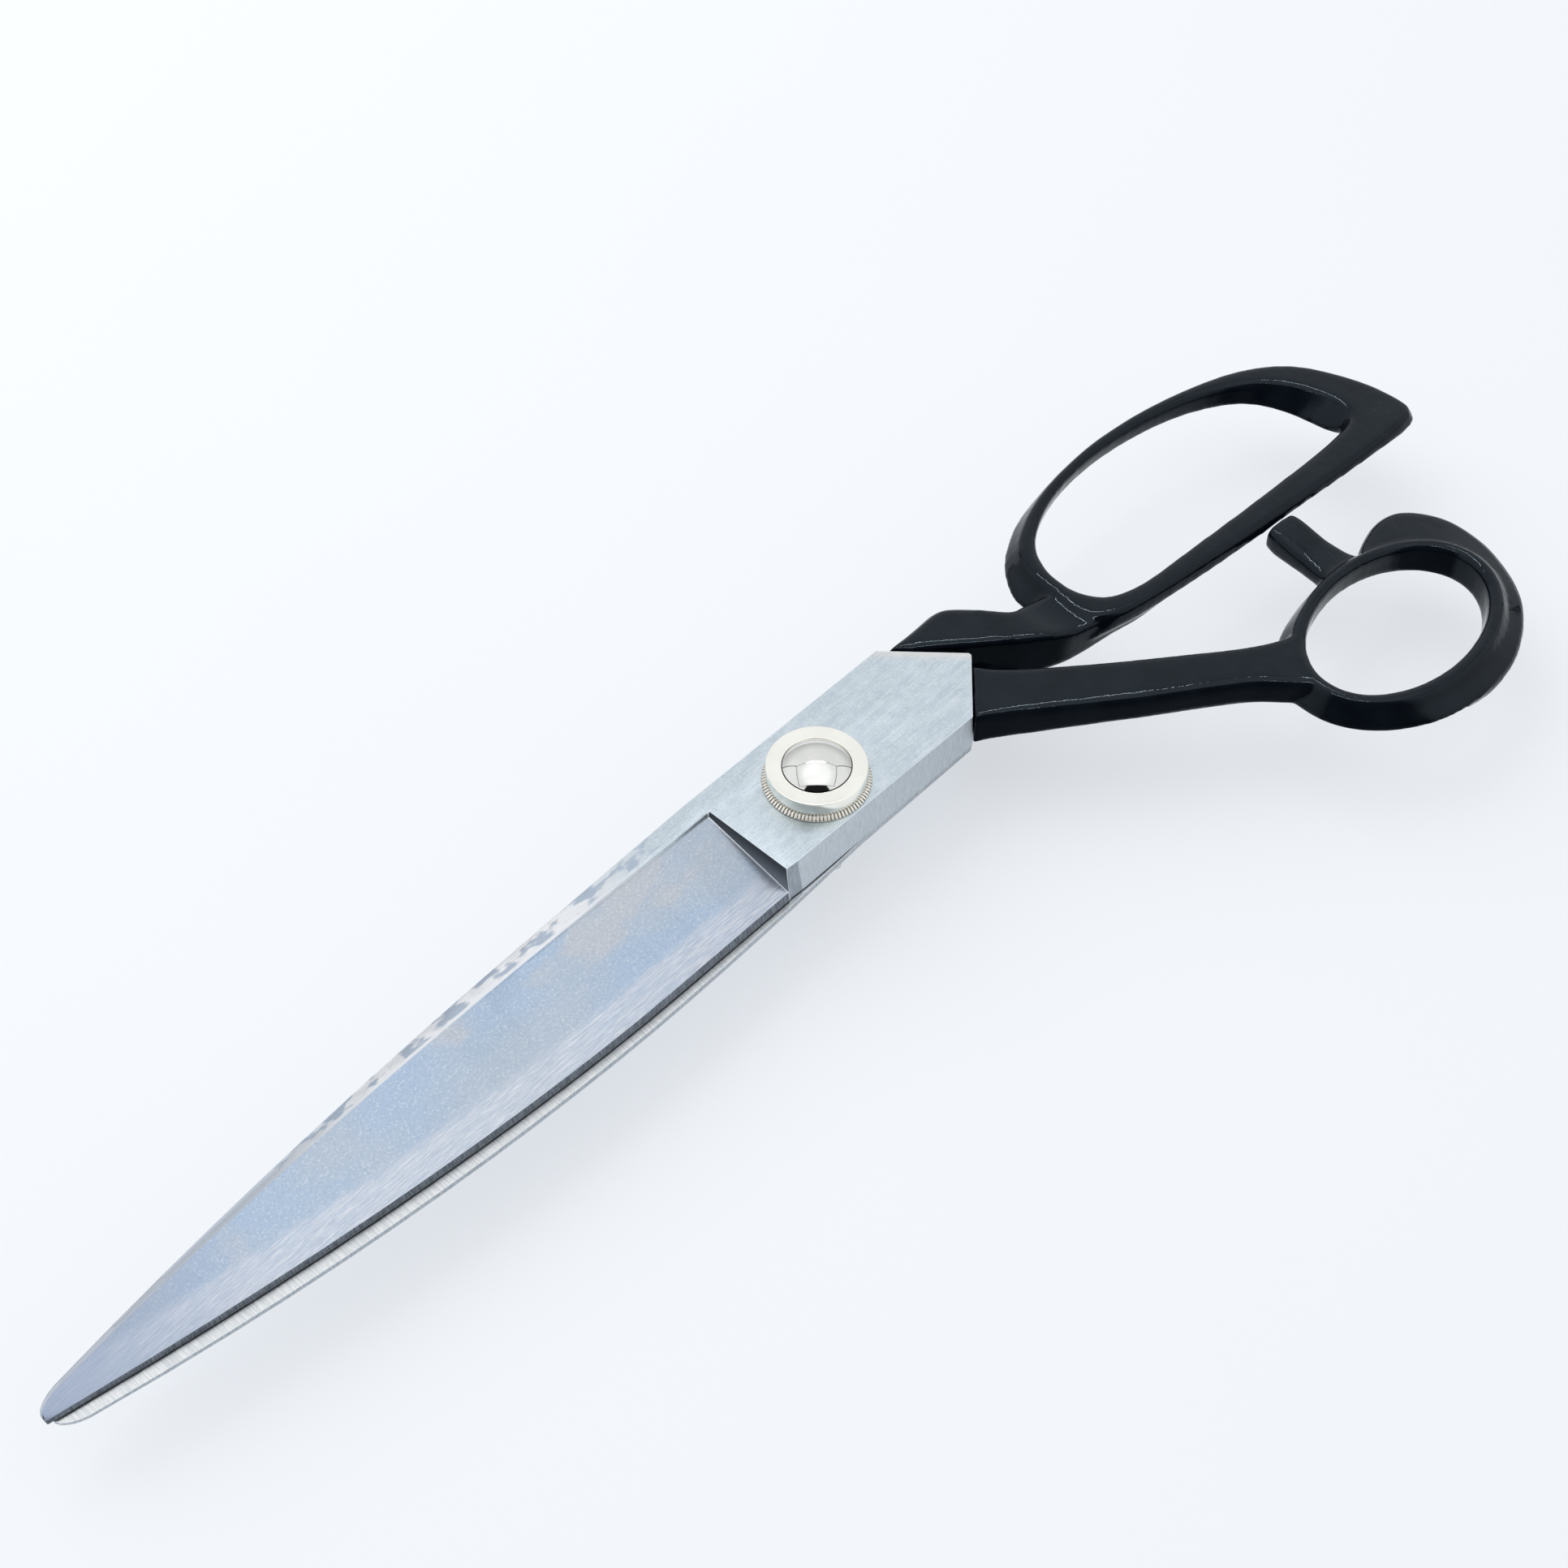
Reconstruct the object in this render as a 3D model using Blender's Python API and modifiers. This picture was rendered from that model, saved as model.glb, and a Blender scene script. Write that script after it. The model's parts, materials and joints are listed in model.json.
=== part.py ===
"""Fabric shears, 300 mm class: two steel halves on an adjustable pivot, with enamelled iron bows.

Metres, +Z up. The origin is on the pivot axis, at the flat tail end of the pivot bolt.
+X runs along the shears towards the bows, +Y towards the spine of the front blade.
Shapes are written in millimetres about the pivot axis, with z = 0 on the shear plane where the
two halves meet. Two empties on the pivot axis, at the height of that plane, carry the halves.
"""

import math

import bmesh
import bpy
from mathutils import Vector

MM = 0.001

# Pivot stack below the shear plane, from the tail of the bolt upwards
TAIL_STUB = 0.8
NUT_THICKNESS = 3.4
SPRING_HEIGHT = 1.0
FRICTION_THICKNESS = 0.8
BLOCK_THICKNESS = 7.0
STACK_GAP = 0.05
SHEAR_GAP = 0.3
SHEAR_PLANE = (
    TAIL_STUB + NUT_THICKNESS + SPRING_HEIGHT + FRICTION_THICKNESS + 3 * STACK_GAP + BLOCK_THICKNESS
)

# Pivot stack above the front block
WASHER_RADIUS = 9.2
WASHER_TOP_RADIUS = 8.65
WASHER_RIM = 0.3
WASHER_THICKNESS = 0.85
WASHER_TEETH = 80
TOOTH_DEPTH = 0.22
COLLAR_RADIUS = 8.5
COLLAR_TOP = BLOCK_THICKNESS + 3.7
COLLAR_CHAMFER = 0.25
RECESS_RADIUS = 5.85
RECESS_FLOOR = COLLAR_TOP - 1.5
HEAD_RADIUS = 5.7
DOME_RISE = 2.0

# Bolt, nut and washers
BOLT_RADIUS = 3.0
RUNNING_CLEARANCE = 0.06
FIXED_CLEARANCE = 0.3
NECK_SIDE = 6.4
NECK_HOLE_SIDE = 6.7
NUT_ACROSS_FLATS = 10.0
FRICTION_RADIUS = 6.2
SPRING_RADIUS = 5.7
SPRING_SHEET = 0.5
ROUND_STEPS = 48

# Blades, seen from above
TIP_X = -155.2
REAR_TIP_X = -154.2
SHOULDER_X = -17.4
BELLY_X = -45.0
EDGE_Y = -10.35
SPINE_Y = 12.1
REAR_SPINE_Y = -11.7
REAR_EDGE_Y = 10.4
BLOCK_REAR_Y = 10.7
CHEVRON_X = 28.0
APEX_X = 38.6
APEX_Y = -0.2
APEX_HALF_WIDTH = 0.3
WELD_GAP = 0.12

# Bows
BOW_TOP = 7.0
RING_CENTRE = (96.3, -49.0)
RING_HOLE = (20.2, 13.0)
RING_STEPS = 56
LOOP_STEPS_PER_STATION = 3
LOOP_STOP_Y = -18.95
STOP_GAP = 0.3


def mix(a, b, t):
    return a + (b - a) * t


def belly(x, start, amplitude, reach, power):
    """Offset of a blade outline that leaves a straight line at x = start and curves to the tip."""
    u = max(0.0, (start - x) / reach)
    return amplitude * u**power


# ---------------------------------------------------------------- collections, materials, meshes


def clear_scene():
    for ob in list(bpy.data.objects):
        bpy.data.objects.remove(ob, do_unlink=True)


def make_collection(name):
    collection = bpy.data.collections.new(name)
    bpy.context.scene.collection.children.link(collection)
    return collection


def principled(name, colour, roughness, metallic):
    material = bpy.data.materials.new(name)
    material.use_nodes = True
    shader = material.node_tree.nodes["Principled BSDF"]
    shader.inputs["Base Color"].default_value = (*colour, 1.0)
    shader.inputs["Roughness"].default_value = roughness
    shader.inputs["Metallic"].default_value = metallic
    return material


def make_empty(name, collection):
    empty = bpy.data.objects.new(name, None)
    empty.location = (0.0, 0.0, SHEAR_PLANE * MM)
    collection.objects.link(empty)
    return empty


def finish_part(ob, material, parent):
    """Gives a piece its material, its parent on the pivot axis and smooth round faces."""
    ob.data.materials.append(material)
    ob.parent = parent
    ob.data.shade_smooth()
    ob.data.set_sharp_from_angle(angle=math.radians(35))
    return ob


def add_mesh(name, bm, collection):
    bmesh.ops.recalc_face_normals(bm, faces=bm.faces)
    mesh = bpy.data.meshes.new(name)
    bm.to_mesh(mesh)
    bm.free()
    ob = bpy.data.objects.new(name, mesh)
    collection.objects.link(ob)
    return ob


def loft(name, sections, collection, closed=False):
    """Skins equal-length sections of (x, y, z) in millimetres; closed joins the last to the first."""
    bm = bmesh.new()
    rings = [[bm.verts.new(Vector(point) * MM) for point in section] for section in sections]
    count = len(rings)
    size = len(rings[0])
    for i in range(count if closed else count - 1):
        here = rings[i]
        there = rings[(i + 1) % count]
        for j in range(size):
            k = (j + 1) % size
            bm.faces.new((here[j], here[k], there[k], there[j]))
    if not closed:
        bm.faces.new(rings[0])
        bm.faces.new(rings[-1])
    return add_mesh(name, bm, collection)


def turned(name, profile, collection, closed=False, steps=ROUND_STEPS):
    """Turns a profile of (radius, z) in millimetres about the pivot axis."""
    mesh = bpy.data.meshes.new(name)
    points = [(r * MM, 0.0, z * MM) for r, z in profile]
    edges = [(i, i + 1) for i in range(len(points) - 1)]
    if closed:
        edges.append((len(points) - 1, 0))
    mesh.from_pydata(points, edges, [])
    ob = bpy.data.objects.new(name, mesh)
    collection.objects.link(ob)
    screw = ob.modifiers.new("turn", "SCREW")
    screw.axis = "Z"
    screw.steps = steps
    screw.render_steps = steps
    screw.use_merge_vertices = True
    screw.merge_threshold = 0.00001
    screw.use_smooth_shade = True
    return ob


def prism(name, outline, z_low, z_high, collection):
    """Extrudes a flat outline of (x, y) in millimetres between two heights."""
    curve = bpy.data.curves.new(name, "CURVE")
    curve.dimensions = "2D"
    curve.fill_mode = "BOTH"
    curve.extrude = (z_high - z_low) / 2 * MM
    spline = curve.splines.new("POLY")
    spline.points.add(len(outline) - 1)
    for point, (x, y) in zip(spline.points, outline):
        point.co = (x * MM, y * MM, 0.0, 1.0)
    spline.use_cyclic_u = True
    flat = bpy.data.objects.new(name + "_outline", curve)
    flat.location.z = (z_low + z_high) / 2 * MM
    collection.objects.link(flat)
    bpy.context.view_layer.update()
    graph = bpy.context.evaluated_depsgraph_get()
    mesh = bpy.data.meshes.new_from_object(flat.evaluated_get(graph))
    bm = bmesh.new()
    bm.from_mesh(mesh)
    bmesh.ops.remove_doubles(bm, verts=bm.verts, dist=0.00001)
    bm.to_mesh(mesh)
    bm.free()
    ob = bpy.data.objects.new(name, mesh)
    ob.matrix_world = flat.matrix_world
    collection.objects.link(ob)
    bpy.data.objects.remove(flat, do_unlink=True)
    return ob


def combine(target, operand, operation, parent):
    """Joins or cuts one piece with a helper shape, which follows the same parent."""
    operand.hide_render = True
    operand.display_type = "WIRE"
    operand.parent = parent
    boolean = target.modifiers.new(operation.lower(), "BOOLEAN")
    boolean.operation = operation
    boolean.solver = "EXACT"
    boolean.object = operand


# ---------------------------------------------------------------- smooth runs through stations


def spline_point(a, b, c, d, t):
    """Catmull-Rom between b and c, for rows of numbers."""
    return tuple(
        0.5 * (2 * q + (r - p) * t + (2 * p - 5 * q + 4 * r - s) * t**2 + (3 * q - p - 3 * r + s) * t**3)
        for p, q, r, s in zip(a, b, c, d)
    )


def smooth_loop(rows, steps):
    """Rows around a closed loop, with steps smooth rows for each given one."""
    n = len(rows)
    out = []
    for i in range(n):
        for k in range(steps):
            out.append(spline_point(rows[i - 1], rows[i], rows[(i + 1) % n], rows[(i + 2) % n], k / steps))
    return out


def smooth_run(rows, steps):
    """Rows along an open run, with steps smooth rows for each given one, ends included."""
    padded = [rows[0], *rows, rows[-1]]
    out = []
    for i in range(len(rows) - 1):
        for k in range(steps):
            out.append(spline_point(*padded[i : i + 4], k / steps))
    out.append(tuple(rows[-1]))
    return out


# ---------------------------------------------------------------- steel halves


def tip_stations(tip_x):
    """Places along a blade from its tip to the shoulder, closer together round the tip."""
    close = [tip_x + 4.0 * (1 - math.cos(math.radians(a))) for a in (0, 25, 42, 56, 70, 90)]
    count = 15
    start = close[-1]
    even = [mix(start, SHOULDER_X, (i / count) ** 0.9) for i in range(1, count + 1)]
    return close + even


def tip_round(x, tip_x):
    """0 at the very tip, rising to 1 where the rounding of the tip ends."""
    along = min(1.0, (x - tip_x) / 4.0)
    return math.sqrt(max(0.0, 1 - (1 - along) ** 2))


def front_blade_section(x):
    t = (x - TIP_X) / (SHOULDER_X - TIP_X)
    edge = EDGE_Y + belly(x, BELLY_X, 12.95, 110.0, 1.75)
    spine = SPINE_Y - belly(x, BELLY_X, 5.6, 104.0, 2.35)
    spine = mix(edge + 1.3, spine, tip_round(x, TIP_X))
    bevel = 0.7 + 1.3 * t**0.5
    ridge = 1.3 + 5.7 * t**0.75
    drop = 1.1 * math.sin(math.pi * min(1.0, t) ** 0.8)
    land = min(0.3 + 3.6 * t**0.6, 0.35 * (spine - edge))
    step = 0.05 + 0.75 * t**4
    lift = SHEAR_GAP / 2
    return [
        (x, edge, lift),
        (x, edge + 0.3, bevel),
        (x, spine - land - 0.3, ridge - step),
        (x, spine - land, ridge),
        (x, spine, max(ridge - drop, 0.9)),
        (x, spine, lift),
    ]


def front_block_section(x, near_top, near_low, far):
    land = min(3.9, 0.35 * (far - near_top))
    lift = SHEAR_GAP / 2
    top = BLOCK_THICKNESS
    return [
        (x, near_low, lift),
        (x, near_top, top),
        (x, far - land - 0.3 * land / 3.9, top),
        (x, far - land, top),
        (x, far, top),
        (x, far, lift),
    ]


def make_front_blade(parts, cutters, parent, steel):
    sections = [front_blade_section(x) for x in tip_stations(TIP_X)]
    shoulder = SHOULDER_X + 0.4
    sections.append(front_block_section(shoulder, -9.1, EDGE_Y + 0.15, SPINE_Y))
    sections.append(front_block_section(shoulder + 2.6, -9.3, EDGE_Y, SPINE_Y))
    sections.append(front_block_section(CHEVRON_X, -9.9, EDGE_Y, SPINE_Y))
    near = APEX_Y - APEX_HALF_WIDTH
    sections.append(front_block_section(APEX_X, near, near, APEX_Y + APEX_HALF_WIDTH))
    blade = loft("front_blade", sections, parts)
    hole = NECK_HOLE_SIDE / 2
    square = [(-hole, -hole), (hole, -hole), (hole, hole), (-hole, hole)]
    cutter = prism("front_neck_hole", square, -2.0, BLOCK_THICKNESS + 2.0, cutters)
    combine(blade, cutter, "DIFFERENCE", parent)
    return finish_part(blade, steel, parent)


def rear_spine_y(x):
    return REAR_SPINE_Y + belly(x, BELLY_X, 11.8, 107.0, 1.95) + 1.4 * max(0.0, (x + 50.0) / 50.0) ** 2


def rear_blade_section(x):
    t = (x - REAR_TIP_X) / (SHOULDER_X - REAR_TIP_X)
    edge = REAR_EDGE_Y - belly(x, BELLY_X, 6.4, 105.0, 2.35)
    spine = rear_spine_y(x)
    spine = mix(edge - 0.8, spine, tip_round(x, REAR_TIP_X))
    bevel = 0.7 + 1.3 * t**0.5
    ridge = 1.4 + 5.2 * t**0.75
    wall = 0.8 + 0.8 * t**0.3
    land = min(0.6 + 3.4 * t**0.6, 0.4 * (edge - spine))
    drop = -SHEAR_GAP / 2
    return [
        (x, spine, drop),
        (x, spine + 0.1, -wall),
        (x, spine + land, -ridge),
        (x, edge - 0.3, -bevel),
        (x, edge, drop),
    ]


def rear_block_section(x, near, far):
    share = min(1.0, (far - near) / 20.0)
    drop = -SHEAR_GAP / 2
    return [
        (x, near, drop),
        (x, near + 0.1 * share, -1.5),
        (x, near + 3.4 * share, -BLOCK_THICKNESS),
        (x, far, -BLOCK_THICKNESS),
        (x, far, drop),
    ]


def make_rear_blade(parts, cutters, parent, steel):
    sections = [rear_blade_section(x) for x in tip_stations(REAR_TIP_X)]
    shoulder = SHOULDER_X + 0.4
    for x in (shoulder, -8.0, 0.0):
        sections.append(rear_block_section(x, rear_spine_y(x), BLOCK_REAR_Y))
    sections.append(rear_block_section(CHEVRON_X, -10.2, BLOCK_REAR_Y))
    sections.append(rear_block_section(APEX_X, APEX_Y - APEX_HALF_WIDTH, APEX_Y + APEX_HALF_WIDTH))
    blade = loft("rear_blade", sections, parts)
    bore = BOLT_RADIUS + RUNNING_CLEARANCE
    profile = [(0.0, 2.0), (bore, 2.0), (bore, -BLOCK_THICKNESS - 2.0), (0.0, -BLOCK_THICKNESS - 2.0)]
    cutter = turned("rear_bore", profile, cutters)
    combine(blade, cutter, "DIFFERENCE", parent)
    return finish_part(blade, steel, parent)


# ---------------------------------------------------------------- bows


def bow_section(inner, ridge, low, inset, z_top, z_low):
    """Rounded band section: inner wall, flat top, ridge and sloping outer wall."""
    inner = Vector(inner)
    ridge = Vector(ridge)
    low = Vector(low)
    out = (ridge - inner).normalized()
    foot = inner - out * inset
    width = (low - foot).length
    under = min(2.3, 0.36 * width)
    top_round = min(0.8, 0.2 * width)
    side = ridge + (low - ridge) * 0.3
    plan = [
        (foot, z_low + 0.4 * under),
        (inner, z_top - top_round),
        (inner + out * top_round, z_top),
        (ridge - out * 0.4, z_top),
        (side, z_top - 0.3 * (z_top - z_low)),
        (low, z_low + under),
        (low - out * under, z_low),
        (foot + out * 0.5 * under, z_low),
    ]
    return [(p.x, p.y, z) for p, z in plan]


def ring_section(angle):
    """Section of the thumb ring, which is shallow beside the stop peg and deep elsewhere."""
    c = math.cos(angle)
    s = math.sin(angle)
    a, b = RING_HOLE
    inner = Vector((RING_CENTRE[0] + a * c, RING_CENTRE[1] + b * s))
    out = Vector((c / a, s / b)).normalized()
    shallow = max(0.0, s) ** 3
    right = max(0.0, c) ** 2
    beside_shank = max(0.0, math.cos(angle - math.radians(158))) ** 4
    flare = 3.3 + 3.4 * max(0.0, -s) ** 1.2 + 2.4 * beside_shank
    ridge = inner + out * mix(2.7, 2.3, shallow)
    low = inner + out * flare
    z_low = mix(0.6, 1.6, shallow)
    return bow_section(inner, ridge, low, 0.9 * right, BOW_TOP, z_low)


def shank_section(far, width, heading, z_top, z_low, round_top=0.9, round_low=1.6):
    """Section across a shank from its far top edge, with rounded corners."""
    across = Vector((heading.y, -heading.x))
    far = Vector(far)
    near = far + across * width
    plan = [
        (far, z_low + round_low),
        (far, z_top - round_top * 0.6),
        (far + across * round_top * 0.6, z_top),
        (near - across * round_top, z_top),
        (near, z_top - round_top),
        (near, z_low + round_low),
        (near - across * round_low, z_low),
        (far + across * round_low, z_low),
    ]
    return [(p.x, p.y, z) for p, z in plan]


def chevron_cutter(name, corner_y, z_low, z_high, grow, cutters):
    """The pointed rear end of a steel block, grown a little, up to a given +Y or -Y side."""
    rear = APEX_X + grow * 1.4
    outline = [
        (10.0, -14.0),
        (CHEVRON_X - 3.0, -14.0),
        (CHEVRON_X + grow, -10.5 - grow),
        (rear, APEX_Y - APEX_HALF_WIDTH),
        (rear, APEX_Y + APEX_HALF_WIDTH),
        (CHEVRON_X + grow, corner_y + grow),
        (CHEVRON_X - 3.0, 15.0),
        (10.0, 15.0),
    ]
    return prism(name, outline, z_low, z_high, cutters)


def make_thumb_ring(parts):
    sections = [ring_section(2 * math.pi * i / RING_STEPS) for i in range(RING_STEPS)]
    return loft("front_handle", sections, parts, closed=True)


def make_front_shank(cutters):
    heading = Vector((0.795, -0.606)).normalized()
    stations = [
        (36.4, -1.1, 15.0, -0.3, 0.4),
        (38.6, -4.2, 13.3, 0.2, 0.5),
        (42.8, -8.7, 11.3, 0.2, 0.8),
        (49.7, -14.8, 10.0, 0.1, 1.3),
        (56.8, -20.8, 9.5, 0.0, 1.6),
        (65.0, -27.4, 8.9, -0.4, 1.6),
        (72.0, -32.9, 8.8, -0.6, 1.6),
        (76.6, -35.9, 10.2, -0.5, 1.6),
        (80.4, -37.6, 12.0, -0.4, 1.6),
    ]
    sections = [
        shank_section((x, y), width, heading, BOW_TOP - 0.1, max(z_low, SHEAR_GAP), 0.9, round_low)
        for x, y, width, z_low, round_low in smooth_run(stations, 3)
    ]
    return loft("front_shank", sections, cutters)


# Outer rim of the heel lug, clockwise from beside the stop peg: angle about the ring, outer x, y,
# height beside the ring, height at the rim
LUG_STATIONS = (
    (74.0, 105.6, -33.9, 4.8, 4.2),
    (62.0, 110.6, -31.9, 5.1, 4.4),
    (49.0, 116.2, -30.9, 5.2, 4.5),
    (36.0, 121.1, -32.3, 5.3, 4.6),
    (24.0, 124.3, -36.5, 5.5, 4.6),
    (12.0, 125.8, -41.5, 5.8, 4.5),
    (0.0, 125.4, -47.5, 6.0, 4.4),
    (-12.0, 124.0, -52.4, 6.1, 4.2),
    (-26.0, 121.4, -57.4, 6.2, 4.0),
    (-40.0, 117.4, -62.0, 6.2, 3.9),
    (-55.0, 111.7, -65.6, 6.2, 3.8),
    (-70.0, 105.0, -68.0, 6.1, 3.7),
    (-84.0, 97.8, -68.7, 5.8, 3.6),
    (-96.0, 91.6, -67.7, 5.4, 3.4),
)


def make_heel_lug(cutters):
    """Low shelf that widens the thumb ring on its outer side and ends in a lug beside the peg."""
    sections = []
    for angle, x, y, z_in, z_rim in smooth_run(LUG_STATIONS, 3):
        c = math.cos(math.radians(angle))
        s = math.sin(math.radians(angle))
        a, b = RING_HOLE
        inner = Vector((RING_CENTRE[0] + (a + 1.5) * c, RING_CENTRE[1] + (b + 1.5) * s))
        outer = Vector((x, y))
        back = (outer - inner).normalized()
        plan = [
            (inner, 0.6),
            (inner, z_in),
            (outer - back * 1.5, z_rim),
            (outer - back * 0.4, z_rim - 0.7),
            (outer, z_rim - 1.9),
            (outer - back * 0.3, 0.9),
            (outer - back * 1.5, 0.0),
        ]
        sections.append([(p.x, p.y, z) for p, z in plan])
    return loft("heel_lug", sections, cutters)


def make_stop_peg(cutters):
    """The peg on the thumb ring that meets the straight side of the finger loop when closed."""
    root = Vector((100.9, -35.4))
    end = Vector((102.2, LOOP_STOP_Y - STOP_GAP))
    heading = (end - root).normalized()
    left = Vector((-heading.y, heading.x))
    sections = []
    for along, half, z_top, z_low in (
        (0.0, 5.2, 5.6, 1.4),
        (0.22, 4.3, 5.2, 1.2),
        (0.5, 3.9, 5.3, 1.0),
        (0.85, 3.9, 6.2, 1.0),
        (1.0, 3.6, 6.3, 1.4),
    ):
        centre = root + (end - root) * along
        plan = [
            (centre + left * half, z_low + 1.0),
            (centre + left * half, z_top - 1.0),
            (centre + left * (half - 1.0), z_top),
            (centre - left * (half - 1.0), z_top),
            (centre - left * half, z_top - 1.0),
            (centre - left * half, z_low + 1.0),
            (centre - left * (half - 1.0), z_low),
            (centre + left * (half - 1.0), z_low),
        ]
        sections.append([(p.x, p.y, z) for p, z in plan])
    return loft("stop_peg", sections, cutters)


def make_front_handle(parts, cutters, parent, enamel):
    handle = make_thumb_ring(parts)
    combine(handle, make_front_shank(cutters), "UNION", parent)
    combine(handle, make_heel_lug(cutters), "UNION", parent)
    combine(handle, make_stop_peg(cutters), "UNION", parent)
    notch = chevron_cutter("front_notch", SPINE_Y, -3.0, BLOCK_THICKNESS + 3.0, WELD_GAP, cutters)
    combine(handle, notch, "DIFFERENCE", parent)
    return finish_part(handle, enamel, parent)


# Finger loop stations: inner rim x, y; ridge x, y; outer foot x, y; inset of the inner foot; heights
LOOP_STATIONS = (
    (63.0, -2.0, 60.0, -1.0, 56.6, 1.3, -0.3, 7.0, 0.0),
    (63.7, 3.2, 60.9, 4.9, 57.8, 6.9, -0.3, 7.0, 0.2),
    (66.8, 8.4, 64.2, 10.4, 62.3, 12.0, -0.4, 7.0, 0.8),
    (72.8, 12.2, 71.2, 14.3, 69.8, 16.1, -0.5, 7.0, 1.6),
    (81.0, 14.8, 80.3, 16.9, 79.8, 18.3, -0.6, 6.9, 2.2),
    (92.0, 15.7, 92.3, 18.0, 92.5, 19.0, -0.6, 6.9, 2.6),
    (104.0, 14.7, 105.0, 17.1, 105.6, 18.2, -0.2, 6.9, 2.8),
    (116.0, 11.8, 117.7, 14.4, 118.6, 15.4, 0.2, 7.0, 2.6),
    (126.0, 6.8, 129.0, 10.2, 130.2, 11.2, 0.9, 7.0, 2.0),
    (131.6, 0.6, 137.0, 4.0, 138.4, 4.8, 2.4, 7.0, 1.5),
    (134.0, -6.5, 141.4, -5.0, 143.0, -4.6, 3.4, 7.0, 1.4),
    (133.8, -11.0, 143.2, -14.0, 144.6, -14.4, 3.0, 7.0, 1.7),
    (131.4, -13.3, 141.4, -20.5, 142.0, -21.3, 1.2, 7.0, 2.6),
    (124.0, -13.8, 127.5, -20.6, 127.8, -21.2, 0.0, 7.0, 3.0),
    (112.0, -13.4, 112.0, -19.3, 112.0, -19.8, 0.0, 7.0, 3.0),
    (98.0, -12.7, 98.0, -18.0, 98.0, -18.5, 0.0, 7.0, 2.8),
    (84.0, -11.8, 84.0, -16.4, 84.0, -16.8, 0.0, 7.0, 2.6),
    (73.0, -11.0, 72.0, -14.8, 72.0, -15.1, 0.0, 7.0, 2.6),
    (66.6, -8.9, 63.6, -12.9, 63.4, -13.2, 0.0, 7.0, 1.8),
    (63.9, -5.6, 59.4, -9.0, 57.0, -9.6, -0.2, 7.0, 0.2),
)


def make_finger_loop(parts):
    sections = []
    for row in smooth_loop(LOOP_STATIONS, LOOP_STEPS_PER_STATION):
        ix, iy, rx, ry, lx, ly, inset, z_top, z_low = row
        sections.append(bow_section((ix, iy), (rx, ry), (lx, ly), inset, z_top, z_low))
    return loft("rear_handle", sections, parts, closed=True)


def make_rear_shank(cutters):
    """The shank that climbs from beside the front block up to the finger loop."""
    stations = [
        (29.0, 11.0, 30.2, 9.8, 6.6, -6.9),
        (33.0, 11.2, 33.3, 7.4, 6.9, -6.9),
        (38.0, 11.3, 37.0, 4.3, 7.0, -6.9),
        (42.8, 11.2, 40.6, 1.2, 7.0, -6.8),
        (45.6, 9.2, 43.4, -1.2, 7.0, -5.9),
        (48.8, 5.4, 47.4, -4.7, 7.0, -4.4),
        (51.6, 2.0, 51.4, -7.6, 6.8, -2.8),
        (55.0, 1.4, 55.0, -9.7, 6.2, -1.8),
        (60.4, -0.6, 59.6, -11.2, 6.2, -0.8),
        (63.6, -7.4, 63.9, -12.4, 6.2, 0.2),
        (68.4, -11.2, 69.2, -13.9, 6.4, 1.4),
        (74.0, -13.0, 74.4, -14.8, 6.4, 2.6),
    ]
    sections = []
    for fx, fy, nx, ny, z_top, z_low in smooth_run(stations, 3):
        far = Vector((fx, fy))
        near = Vector((nx, ny))
        across = (near - far).normalized()
        r = min(1.2, 0.25 * (near - far).length)
        plan = [
            (far, z_low + r),
            (far, z_top - r),
            (far + across * r, z_top),
            (near - across * r * 0.4, z_top),
            (near, z_top - r * 0.4),
            (near, z_low + r),
            (near - across * r, z_low),
            (far + across * r, z_low),
        ]
        sections.append([(p.x, p.y, z) for p, z in plan])
    return loft("rear_shank", sections, cutters)


def make_rear_root(cutters):
    """The low root that joins the pointed end of the rear block, under the front block."""
    outline = [
        (29.5, 9.4),
        (30.6, 10.3),
        (40.5, 10.2),
        (46.0, 4.0),
        (49.0, -3.5),
        (46.5, -5.0),
        (40.5, -2.2),
        (38.0, 0.5),
    ]
    return prism("rear_root", outline, -BLOCK_THICKNESS + 0.2, -SHEAR_GAP / 2 - 0.35, cutters)


def make_rear_handle(parts, cutters, parent, enamel):
    handle = make_finger_loop(parts)
    combine(handle, make_rear_shank(cutters), "UNION", parent)
    combine(handle, make_rear_root(cutters), "UNION", parent)
    low_notch = chevron_cutter(
        "rear_low_notch", BLOCK_REAR_Y, -BLOCK_THICKNESS - 3.0, -SHEAR_GAP / 2, WELD_GAP, cutters
    )
    combine(handle, low_notch, "DIFFERENCE", parent)
    swing_notch = chevron_cutter(
        "rear_swing_notch", SPINE_Y, -SHEAR_GAP, BLOCK_THICKNESS + 3.0, 5 * WELD_GAP, cutters
    )
    combine(handle, swing_notch, "DIFFERENCE", parent)
    return finish_part(handle, enamel, parent)


# ---------------------------------------------------------------- pivot


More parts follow.
